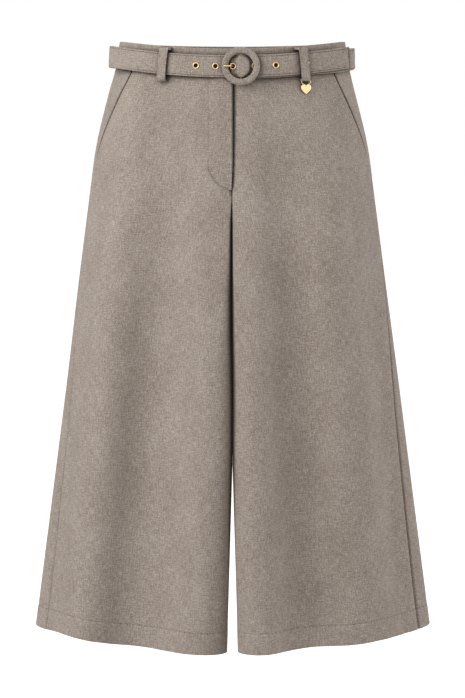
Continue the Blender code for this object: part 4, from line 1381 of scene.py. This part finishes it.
@dataclass
class Belt:
    """The cloth-covered strap with its stitched edges and holes, in which the eyelets' black discs of painted
    shade sit.
    """

    hole: float = 3.0 * MM
    sewn_in: float = 2.1 * MM
    edge_round: float = 1.1 * MM
    eyelets: tuple = (-0.0417, -0.0193, 0.0005, 0.0250, 0.0487, 0.0829)
    tip_slant: float = 4.0 * MM     # the tip's lower corner runs this much further
    crumple_at: float = 0.182       # arc length where the covered layer bends round the side
    crumple_run: tuple = (0.150, 0.200)     # closer sections there,
    climb_run: tuple = (-0.020, 0.030)      # and where the lap climbs, from the centre front
    tack: tuple = (0.1075, 0.0005)  # x of the tack by the tip, and its height over the middle

    def stations(self) -> np.ndarray:
        """Space the strap's sections, closer together where it climbs over the bar.

        Returns:
            The arc length of each section.
        """
        start, turn, tip = BELT.bar_x + BELT.past_bar, BELT.turn(), BELT.tip()
        stops = (start + 1.2 * MM, *self.crumple_run, *(turn + x for x in self.climb_run), tip - 5.0 * MM)
        runs = [np.linspace(a, b, count)[1:]
                for a, b, count in zip(stops, stops[1:], (50, 80, 210, 70, 58))]
        return np.concatenate([[start, start + 0.4 * MM, stops[0]], *runs,
                               np.linspace(tip - 4.6 * MM, tip - 0.8 * MM, 12), [tip - 0.4 * MM, tip]])

    def profile(self) -> np.ndarray:
        """Draw the strap's cross-section, round from the back's top edge.

        Returns:
            Rows of (across, out, grain).
        """
        half, thick = BELT.wide / 2, BELT.thick / 2
        turn = np.radians(np.linspace(90.0, -90.0, 7))
        top = [(half - self.edge_round + self.edge_round * math.cos(a), -thick * math.sin(a)) for a in turn]
        inner = half - self.edge_round - np.array([0.5, 0.8, 1.0, 1.3, 1.8, 3.0, 5.0, 8.0]) * MM
        face = [(w, thick) for w in inner] + [(-w, thick) for w in inner[::-1]]
        back = [(w, -thick) for w in np.linspace(-half + self.edge_round, half - self.edge_round, 8)[1:-1]]
        bottom = [(-w, t) for w, t in reversed(top)]
        loop = np.array(top + face + bottom + back)
        return np.column_stack([loop, lengths(loop)])

    def relief(self, along: float, profile: np.ndarray) -> np.ndarray:
        """Small heights over the strap's face: stitched grooves, a soft crown, slight waves.

        Args:
            along: Arc length from the centre front.
            profile: The strap's cross-section.
        Returns:
            The height at each point of the section.
        """
        across, out = profile[:, 0], profile[:, 1]
        front = (out > 0.0) * 1.0
        x = along - BELT.turn() - BELT.bar_x
        # inside the ring the strap swells up to its rise over the bar, but not round the prong's eyelet
        narrow = 1.0 - blend(0.0, BELT.bump_half, abs(x))
        half = 12.6 * MM if x > 0.0 else 9.0 * MM
        oval = 1.0 - blend(0.76, 1.0, np.hypot(x / half, across / (14.2 * MM)))
        oval = oval * blend(4.4 * MM, 6.4 * MM, np.hypot(along - BELT.turn() - self.eyelets[2], across))
        cushion = BELT.bump * (1.0 - narrow) * oval
        # the covered layer is crumpled where it turns round the side, and pressed in beside the tip
        crumple = bell(along - self.crumple_at, 17.0 * MM) * MM * (
            0.5 * np.sin(across / (1.9 * MM) + 0.6) - 1.1 * blend(7.0 * MM, 12.7 * MM, np.abs(across))
            - 0.9 * bell(across - 2.6 * MM, 1.5 * MM))
        tip = BELT.along_x(BELT.tip_x) + 4.6 * MM - self.tip_slant * across / BELT.wide
        crumple = crumple - 2.6 * MM * bell(along - tip, 3.2 * MM)
        # the side's lower edge leans out, both edges have a sewn groove, and the tip is pressed flat
        lean = 1.6 * MM * (0.5 - across / BELT.wide) * bell(along - 0.75 * BELT.turn(), 0.035)
        groove = bell(np.abs(across) - (BELT.wide / 2 - self.sewn_in), 0.45 * MM)
        crown = 1.0 - (across / (BELT.wide / 2)) ** 4
        waves = math.sin(along / 0.0185) * 0.08 + math.sin(along / 0.0071 + 1.0) * 0.05
        end = BELT.tip() - 2.2 * MM
        cushion = cushion - 1.5 * MM * front * bell(along - end, 1.1 * MM)
        face = front * MM * (-0.30 * groove + 0.10 * crown + waves * bell(across - 3.0 * MM, 9.0 * MM))
        return face + cushion + crumple + lean

    def build(self) -> None:
        """Make the strap, cut its holes, and sew both edges."""
        profile, stations = self.profile(), self.stations()
        count = len(profile)
        rows, grain = [], []
        for i, along in enumerate(stations):
            shrink = 0.72 if i in (0, len(stations) - 1) else 1.0
            slant = self.tip_slant * float(blend(stations[-1] - 0.012, stations[-1], along))
            ends = [(np.array(centre), np.array(out)) for centre, out in (
                BELT.centre(along - slant * part) for part in (0.5, -0.5))]
            share = (0.5 - profile[:, 0] / BELT.wide)[:, None]
            centre, out = ((1.0 - share) * a + share * b for a, b in zip(*ends))
            curl = 1.1 * MM * float(blend(stations[-1] - 0.010, stations[-1], along))
            flat = profile[:, 1] * shrink + self.relief(along, profile) * shrink + curl
            over = profile[:, 0] - (1.0 - shrink) * np.sign(profile[:, 0]) * 0.4 * MM
            rows.append(centre + flat[:, None] * out + np.outer(over, (0.0, 0.0, 1.0)))
            grain.append(np.column_stack([profile[:, 2], np.full(count, along)]))
        work = bmesh.new()
        layer = work.loops.layers.uv.new(GRAIN)
        bmesh.ops.create_grid(work, x_segments=count, y_segments=len(rows) - 1, size=0.5)
        spots = {}
        for vert in work.verts:
            column = round((vert.co.x + 0.5) * count)
            row = round((vert.co.y + 0.5) * (len(rows) - 1))
            spots[vert] = (row, column)
            vert.co = rows[row][column % count]
        for face in work.faces:
            for loop in face.loops:
                row, column = spots[loop.vert]
                across = grain[row][column][0] if column < count else profile[-1, 2] + 1.0 * MM
                loop[layer].uv = (across + 0.15, grain[row][0][1])
        bmesh.ops.remove_doubles(work, verts=work.verts, dist=ONE_PLACE)
        bmesh.ops.holes_fill(work, edges=[edge for edge in work.edges if edge.is_boundary], sides=0)
        bmesh.ops.recalc_face_normals(work, faces=work.faces)
        strap = link("cloth_belt_strap", work, 50.0)
        self.punch(strap)
        dress(strap, Finish.CLOTH, ["belt_strap"])
        self.sew(stations)

    def frame_at(self, x: float) -> Matrix:
        """Placement of an eyelet: its Z axis points out of the strap's outer face."""
        centre, out = BELT.centre(BELT.turn() + BELT.along_x(x))
        return axes(centre, UP.cross(out).normalized(), UP, out)

    def punch(self, strap: bpy.types.Object) -> None:
        """Cut a hole through the strap for each eyelet.

        Args:
            strap: The strap, whose mesh is replaced.
        """
        work = bmesh.new()
        for x in self.eyelets:
            bmesh.ops.create_cone(work, cap_ends=True, segments=32, radius1=self.hole, radius2=self.hole,
                                  depth=3.0 * BELT.thick, matrix=self.frame_at(x))
        cutter = link("punch", work)
        hole = strap.modifiers.new("holes", "BOOLEAN")
        hole.operation = "DIFFERENCE"
        hole.object = cutter
        shape = strap.evaluated_get(bpy.context.evaluated_depsgraph_get())
        mesh = bpy.data.meshes.new_from_object(shape)
        strap.modifiers.clear()
        strap.data = mesh
        bpy.data.objects.remove(cutter)

    def sew(self, stations: np.ndarray) -> None:
        """Run a row of stitches along both edges of the strap's outer face.

        Args:
            stations: Places along the strap.
        """
        stitches = StitchRow("belt_stitches")
        frames = [BELT.centre(along) for along in stations[1:-1]]
        out = np.array([way for _, way in frames])
        centres = np.array([centre for centre, _ in frames])
        for edge in (-1, 1):
            level = np.array([0.0, 0.0, edge * (BELT.wide / 2 - self.sewn_in)])
            stitches.along(centres + out * (BELT.thick / 2 - 0.10 * MM) + level, out)
        stitches.build()
        tack = StitchRow("belt_tack", length=1.1 * MM, pitch=1.6 * MM, thick=0.3 * MM)
        x, over = self.tack
        centre, way = BELT.centre(BELT.turn() + BELT.along_x(x))
        face = np.array(centre + way * BELT.thick / 2)
        line = face + np.outer((-1.0, 1.0), (0.0, 0.0, 0.9 * MM)) + (0.0, 0.0, over)
        tack.along(line, np.tile(way, (2, 1)))
        tack.build()


@dataclass
class Eyelets:
    """Rolled brass eyelets, each with a black disc in its hole as painted shade."""

    hole: float = 2.4 * MM
    barrel: float = 2.75 * MM
    flange: float = 3.85 * MM
    proud: float = 1.0 * MM

    def profile(self) -> list:
        """Draw the eyelet's section, round from the flange's outer edge over its roll.

        Returns:
            Pairs of radius and height.
        """
        half, roll = BELT.thick / 2, (self.flange - self.hole) / 2
        face, middle = half + 0.3 * MM, (self.flange + self.hole) / 2
        high = half + self.proud - face
        dome = [(middle + roll * math.cos(a), face + high * math.sin(a))
                for a in np.radians(np.linspace(0.0, 180.0, 13))]
        return dome + [(self.hole, -half), (self.barrel, -half), (self.barrel, face)]

    def build(self, belt: Belt) -> None:
        """Make every eyelet and the black disc of painted shade in its hole.

        Args:
            belt: The belt that carries them.
        """
        within, disc = self.hole * 0.98, 0.3 * MM
        for i, x in enumerate(belt.eyelets, 1):
            place = belt.frame_at(x)
            work = spun(self.profile(), 40)
            bmesh.ops.transform(work, matrix=place, verts=work.verts)
            dress(link(f"brass_eyelet_{i}", work), Finish.BRASS, [f"eyelet_{i}"])
            # a black disc down in the hole, standing in for the shade there: painted shade
            core = bmesh.new()
            under = place @ Matrix.Translation((0, 0, -BELT.thick / 2 + disc))
            bmesh.ops.create_cone(core, cap_ends=True, segments=24, radius1=within, radius2=within,
                                  depth=disc, matrix=under)
            dress(link(f"painted_shade_disc_{i}", core), Finish.SHADE_FELT)


@dataclass
class Buckle:
    """The cloth-covered ring, with its brass bar and prong."""

    x: float = 9.6 * MM
    down: float = 30.5 * MM
    outer: float = 21.8 * MM
    inner: float = 14.3 * MM
    thick: float = 4.5 * MM
    back_y: float = -0.0986
    bar_radius: float = 1.2 * MM
    prong_radius: float = 1.0 * MM
    prong_root_y: float = -0.0942
    prong_path: tuple = ((2.2, 0.0), (1.0, 0.12), (0.0, 0.30), (-1.1, 0.56), (-2.6, 0.88), (-4.4, 1.0),
                         (-9.8, 0.99))      # (mm right of its eyelet, share of the rise)
    gathers: int = 46           # tucks of the cover round the ring's inner edge

    def ring(self) -> None:
        """Make the covered ring by spinning its section."""
        middle, limb = (self.outer + self.inner) / 2, (self.outer - self.inner) / 2
        work = spun([(middle + limb * math.cos(a), self.thick / 2 * math.sin(a))
                     for a in np.linspace(0.0, 2.0 * math.pi, 28, endpoint=False)], 180)
        layer = work.loops.layers.uv.new(GRAIN)
        for vert in work.verts:
            angle = math.atan2(vert.co.y, vert.co.x)
            radius = math.hypot(vert.co.x, vert.co.y)
            inward = max((middle - radius) / limb, 0.0)
            tuck = 0.16 * MM * inward * math.sin(self.gathers * angle + 0.8 * math.sin(5.0 * angle))
            slack = 0.10 * MM * math.sin(7.0 * angle + 1.0)
            vert.co += Vector((math.cos(angle), math.sin(angle), 0.0)) * (tuck + slack * 0.5)
        for face in work.faces:
            for loop in face.loops:
                x, y, z = loop.vert.co
                level = math.atan2(z, math.hypot(x, y) - middle)
                loop[layer].uv = (x + 0.2, y + 0.5 + level * 0.2 * MM)
        place = Matrix.Translation((self.x, self.back_y - self.thick / 2, -self.down))
        bmesh.ops.transform(work, matrix=place @ Matrix.Rotation(math.pi / 2, 4, "X"), verts=work.verts)
        dress(link("cloth_buckle_ring", work), Finish.CLOTH, ["buckle_ring"])

    def bar(self) -> None:
        """Make the bar across the ring's back, its ends rounded."""
        long = self.outer + self.inner
        work = bmesh.new()
        place = Matrix.Translation((self.x, self.back_y + FORM.seam + self.bar_radius, -self.down))
        bmesh.ops.create_cone(work, cap_ends=True, segments=28, radius1=self.bar_radius,
                              radius2=self.bar_radius, depth=long, matrix=place)
        rims = [edge for edge in work.edges if abs(edge.calc_face_angle(0.0)) > 1.0]
        bmesh.ops.bevel(work, geom=rims, offset=0.4 * MM, offset_type="OFFSET", segments=3, profile=0.5,
                        affect="EDGES", material=-1)
        dress(link("brass_buckle_bar", work), Finish.BRASS, ["buckle_bar"])

    def prong(self, belt: Belt) -> None:
        """Make the prong: it comes up through its eyelet and rests on the ring's limb.

        Args:
            belt: The belt whose eyelet it comes through.
        """
        rise = self.back_y - self.thick - FORM.seam - self.prong_radius - self.prong_root_y
        hole = belt.eyelets[2]
        points = [(self.x, self.prong_root_y, -self.down)]
        points += [(hole + aside * MM, self.prong_root_y + rise * share, -self.down)
                   for aside, share in self.prong_path]
        path = smooth_path(points, 44)
        taper = 1.0 - 0.10 * np.linspace(0.0, 1.0, len(path)) ** 3
        dress(tube("brass_buckle_prong", path, self.prong_radius * taper, 16), Finish.BRASS, ["buckle_prong"])

    def build(self, belt: Belt) -> None:
        """Make the ring, the bar and the prong."""
        self.ring()
        self.bar()
        self.prong(belt)


# Loops and charm ---------------------------------------------------------------------------
@dataclass
class BeltLoop:
    """A narrow strip over the belt, sewn above and below it."""

    name: str
    along: float                # arc length of the belt where it stands
    layers: int = 1             # of the belt under it
    slant: float = 0.0          # how far its top leans off its bottom
    wide: float = 10.0 * MM
    wall: float = 1.2 * MM
    gap: float = 0.4 * MM
    bottom: float = 46.1 * MM
    back_below: float = 9.5 * MM
    top: float = 1.9 * MM
    fold: float = 1.0 * MM
    proud: float = 0.6 * MM     # slack over one layer of the belt
    proud_lapped: float = 1.0 * MM
    flare: float = 0.0          # share by which one side widens at the top: plus its left, minus its right

    def cloth_reach(self, depth: float, origin: Vector, out: Vector) -> float:
        """Measure how far out the cloth's outer face lies.

        Args:
            depth: Depth below the waist.
            origin: Place to measure from.
            out: Level direction to measure in.
        Returns:
            The distance to the face.
        """
        line = FORM.line(depth)
        side = 1.0 if origin.x >= 0.0 else -1.0
        dx, dy = side * line.x - origin.x, line.y - origin.y
        sideways = np.abs(dy * out.x - dx * out.y)
        outwards = np.where(sideways < 0.02, dx * out.x + dy * out.y, -1.0)
        near = np.argsort(np.where(outwards > -0.03, sideways, 1.0))[:2]
        return float(np.mean(outwards[near]))

    def path(self) -> tuple:
        """Lay the loop over the belt.

        Returns:
            Its place, its way out, and its profile in (out, height) pairs.
        """
        point, out = BELT.plan(self.along)
        seat = self.gap + self.wall / 2
        dip = BELT.dip(point.y)
        top = -dip - self.top
        outer = BELT.thick / 2 + seat + (BELT.layer + self.proud_lapped if self.layers > 1 else self.proud)
        band_top = BELT.middle(self.along) + BELT.wide / 2
        band_bottom = band_top - BELT.wide
        bottom = -self.bottom if point.y < 0.0 else -FORM.band_deep - self.back_below - dip
        return point, out, [
            (self.cloth_reach(self.top, point, out) + seat, top),
            (outer - self.fold, top - 0.6 * self.fold),
            (outer, top - 1.8 * self.fold),
            (outer, (top + band_bottom) / 2),
            (outer, band_bottom),
            (outer - 0.8 * self.fold, band_bottom - 1.6 * self.fold),
            (self.cloth_reach(-bottom - dip, point, out) + seat + FORM.seam, bottom),
        ]

    def place(self, out_by: float, level: float) -> tuple:
        """Find a place on the strip's middle line.

        Args:
            out_by: Distance out of the belt's inner turn.
            level: Height.
        Returns:
            The place and the direction across the strip.
        """
        point, out, path = self.path()
        across = UP.cross(out).normalized()
        top, bottom = path[0][1], path[-1][1]
        base = point + out * out_by + across * self.slant * ((top - level) / (top - bottom) - 0.5)
        return Vector((base.x, base.y, level)), across

    def course(self) -> np.ndarray:
        """Smooth the profile; on the front it hangs straight before it turns in to its sewn end.

        Returns:
            The profile in (out, height) pairs.
        """
        _, _, path = self.path()
        if path[-1][1] == -self.bottom:
            outer, end = path[3][0], path[-1][1]
            path[-2:-1] = [(outer, end + 3.4 * MM), (outer - 0.4 * MM, end + 1.5 * MM),
                           (outer - 1.7 * MM, end + 0.4 * MM)]
        return smooth_path(path, 72)

    def build(self) -> None:
        """Make the strip with its folded edges and two rows of stitches."""
        _, out, _ = self.path()
        course = self.course()
        sides = self.wide / 2 - np.array([0.0, 0.25, 0.6, 1.0, 1.4, 1.8, 2.4, 3.4]) * MM
        across = np.concatenate([-sides, [0.0], sides[::-1]])
        rows, steps = [], np.concatenate([[0.0], np.cumsum(np.hypot(*np.diff(course, axis=0).T))])
        for (out_by, level), step in zip(course, steps):
            middle, way = self.place(out_by, level)
            spread = 1.0 + abs(self.flare) * float(1.0 - blend(0.0, 11.0 * MM, step))
            rows.append([np.array(middle + way * float(w * (spread if w * self.flare < 0.0 else 1.0)))
                         for w in across])
        points = np.array(rows)
        normals = outward(points, points.mean(axis=(0, 1)) - np.array(out) * 0.03)
        groove = bell(np.abs(across) - (self.wide / 2 - 1.4 * MM), 0.4 * MM)
        crown = 1.0 - (across / (self.wide / 2)) ** 4
        points = points + normals * (MM * (0.12 * crown - 0.16 * groove))[None, :, None]
        Sheet("cloth_" + self.name, points, grain_of(across + self.along, steps), normals, self.wall,
              offset=0.0, rounded=0.35 * MM).build("stretched", "belt_strap")
        stitches = StitchRow(self.name + "_stitches", length=1.9 * MM, pitch=2.6 * MM, thick=0.18 * MM)
        sewn = slice(3, -10 if self.layers > 1 else -2)     # clear of a bail that swings in the lower fold
        for column in (4, len(across) - 5):
            stitches.along(points[sewn, column] + normals[sewn, column] * (self.wall / 2 - 0.02 * MM),
                           normals[sewn, column])
        stitches.build()


@dataclass
class HeartCharm:
    """A gilt heart with a raised rim, hung by a wire bail in a belt loop's lower fold."""

    wide: float = 12.6 * MM
    tall: float = 11.4 * MM
    thick: float = 1.4 * MM
    drop: float = 8.8 * MM
    rim: float = 0.84           # share of the plate inside its raised rim
    rim_slope: float = 0.96     # and of that, the share on the sunk face
    sunk: float = 0.32 * MM
    wire: float = 0.45 * MM
    arm: tuple = ((3.8, 0.0), (4.5, -0.6), (4.6, -2.2), (4.7, -4.0), (5.6, -5.9), (4.6, -7.7), (2.6, -8.7),
                  (1.9, -9.6), (2.0, -10.6))      # mm, half of the bail, from its bar down
    behind: float = 3.2 * MM

    def frame_in(self, loop: BeltLoop) -> Matrix:
        """Place the bail's bar above a loop's lower end.

        Args:
            loop: The loop that it hangs in.
        Returns:
            The placement, its Z axis out of the cloth.
        """
        _, out, path = loop.path()
        (out_a, level_a), (out_b, level_b) = path[-2], path[-1]
        out_by = out_b + self.behind
        slope = (level_a - level_b) / (out_a - out_b)
        clear = (loop.wall / 2 + FORM.seam + self.wire) * math.sqrt(1.0 + slope * slope)
        centre, across = loop.place(out_by, level_b + (out_by - out_b) * slope + clear)
        return axes(centre, across, UP, out)

    def outline(self) -> list:
        """Draw the heart, its lobes' tops at the bail's drop.

        Returns:
            The outline's places.
        """
        w, t = self.wide / 2, self.tall
        right = [((0.0, -0.16), (0.06, -0.02), (0.26, 0.0), (0.50, 0.0)),
                 ((0.50, 0.0), (0.84, 0.0), (1.0, -0.16), (1.0, -0.36)),
                 ((1.0, -0.36), (1.0, -0.58), (0.34, -0.82), (0.0, -1.0))]
        points = []
        for knots in right:
            knots = [Vector((x * w, y * t - self.drop, 0.0)) for x, y in knots]
            points += list(interpolate_bezier(*knots, 15))[:-1]
        tip = Vector((0.0, -t - self.drop, 0.0))
        left = [Vector((-p.x, p.y, 0.0)) for p in reversed(points[1:])]
        return points + [tip] + left

    def build(self, loop: BeltLoop) -> None:
        """Make the plate and the bail.

        Args:
            loop: The loop that the bail hangs in.
        """
        place = self.frame_in(loop)
        work = bmesh.new()
        below = UP * (-self.thick / 2)
        face = work.faces.new([work.verts.new(corner + below) for corner in self.outline()])
        if face.normal.z > 0.0:
            face.normal_flip()
        bmesh.ops.recalc_face_normals(work, faces=work.faces)
        made = bmesh.ops.extrude_face_region(work, geom=[face])["geom"]
        tops = [item for item in made if isinstance(item, bmesh.types.BMFace)]
        bmesh.ops.translate(work, vec=(0.0, 0.0, self.thick),
                            verts=[item for item in made if isinstance(item, bmesh.types.BMVert)])
        bmesh.ops.recalc_face_normals(work, faces=work.faces)
        rims = list({edge for plate in [face] + tops for edge in plate.edges})
        bmesh.ops.bevel(work, geom=rims, offset=0.22 * MM, offset_type="OFFSET", segments=3, profile=0.5,
                        affect="EDGES", material=-1)
        plates = sorted(work.faces, key=lambda made_face: -made_face.calc_area())[:2]
        middle = Matrix.Translation((0.0, self.drop + 0.42 * self.tall, 0.0))
        for plate in plates:
            way = math.copysign(1.0, plate.calc_center_median().z)
            for share, sink in ((self.rim, 0.0), (self.rim_slope, self.sunk)):
                made = bmesh.ops.extrude_discrete_faces(work, faces=[plate])["faces"]
                plate = made[0]
                bmesh.ops.scale(work, vec=(share, share, 1.0), space=middle, verts=plate.verts)
                bmesh.ops.translate(work, vec=(0.0, 0.0, -way * sink), verts=plate.verts)
        bmesh.ops.remove_doubles(work, verts=work.verts, dist=0.002 * MM)
        bmesh.ops.triangulate(work, faces=[f for f in work.faces if len(f.verts) > 4])
        bmesh.ops.transform(work, matrix=place, verts=work.verts)
        dress(link("gilt_heart", work, 30.0), Finish.GILT, ["heart_charm"], CHARM)
        half = [(x * MM, y * MM) for x, y in self.arm]
        line = [(-x, y, 0.0) for x, y in reversed(half)] + [(x, y, 0.0) for x, y in half]
        path = smooth_path([place @ Vector(p) for p in line], 90)
        dress(tube("gilt_bail", path, np.full(len(path), self.wire), 12), Finish.GILT, body=CHARM)


# Studio ------------------------------------------------------------------------------------
@dataclass
class Studio:
    """Pale floor, soft light from the front left, and the camera."""

    floor_z: float = -1.05      # where the wearer would stand
    distance: float = 2.4
    camera_z: float = -0.105
    pitch: float = 6.2          # degrees below level
    lens: float = 103.15

    def lamp(self, name: str, place: tuple, aim: tuple, size: float, power: float) -> None:
        """Add a soft square lamp.

        Args:
            name: The lamp's name.
            place: Where it stands.
            aim: What it points at.
            size: Length of its side.
            power: Watts.
        """
        light = bpy.data.lights.new(name, "AREA")
        light.size = size
        light.energy = power
        item = put(name, light)
        item.location = place
        item.rotation_euler = (Vector(aim) - Vector(place)).to_track_quat("-Z", "Y").to_euler()

    def backdrop(self) -> None:
        """Add the pale floor and the white surroundings."""
        work = bmesh.new()
        bmesh.ops.create_grid(work, x_segments=8, y_segments=8, size=40.0,
                              matrix=Matrix.Translation((0.0, 0.0, self.floor_z)))
        floor = link("floor", work)
        material, tree, shader = new_material("matt_paper_floor")
        feed(tree, shader, {"Base Color": linear("f4f3f1"), "Roughness": 0.9,
                            "Emission Color": linear("ffffff"), "Emission Strength": 0.75})
        floor.data.materials.append(material)
        floor.visible_diffuse = False
        floor.visible_glossy = False
        world = bpy.data.worlds.new("studio")
        bpy.context.scene.world = world
        world.use_nodes = True
        tree = world.node_tree
        rays = add_node(tree, "LightPath").outputs
        seen = add_node(tree, "Math", {0: rays["Is Camera Ray"], 1: rays["Is Glossy Ray"]},
                        operation="MAXIMUM")
        strength = add_node(tree, "MapRange", {"Value": seen.outputs[0], "To Min": 0.40, "To Max": 1.0})
        feed(tree, tree.nodes["Background"].inputs,
             {"Strength": strength.outputs[0], "Color": linear("ffffff")})

    def build(self) -> None:
        """Set up the floor, the lamps and the camera."""
        self.backdrop()
        self.lamp("key", (-1.80, -1.62, 0.75), (0.0, 0.0, -0.35), 1.9, 52.5)
        self.lamp("fill", (2.9, -0.35, 0.2), (0.0, 0.0, -0.35), 1.8, 36.0)
        camera = bpy.data.cameras.new("camera")
        camera.lens = self.lens
        camera.clip_end = 60.0
        item = put("camera", camera)
        item.location = (0.0, -self.distance, self.camera_z)
        item.rotation_euler = (math.radians(90.0 - self.pitch), 0.0, 0.0)
        bpy.context.scene.camera = item
        bpy.context.scene.view_settings.view_transform = "Standard"


def main() -> None:
    """Build the garment, its belt and its charm, then the studio."""
    logging.basicConfig(level=logging.INFO, format="%(name)s: %(message)s")
    front = Legs().build()
    Waistband().build()
    Fly(front).build()
    belt = Belt()
    belt.build()
    Eyelets().build(belt)
    Buckle().build(belt)
    turn = BELT.turn()
    held = BeltLoop("loop_front_left", BELT.along_x(0.0802), layers=2, slant=4.2 * MM, flare=0.35,
                    wall=2.6 * MM)
    loops = (held, BeltLoop("loop_front_right", turn - BELT.along_x(0.0795), slant=-4.0 * MM, flare=-0.35,
                             wall=3.0 * MM, gap=0.2 * MM, proud=0.0),
             BeltLoop("loop_side_left", 0.36 * turn),
             BeltLoop("loop_side_right", 0.64 * turn), BeltLoop("loop_back", 0.5 * turn))
    for loop in loops:
        loop.build()
    # the charm hangs from its hinge, where the solid loop stands, a little beside the drawn one
    HeartCharm().build(BeltLoop("bail", BELT.along_x(0.0820), layers=2, slant=5.2 * MM))
    Studio().build()


if __name__ == "__main__":
    main()
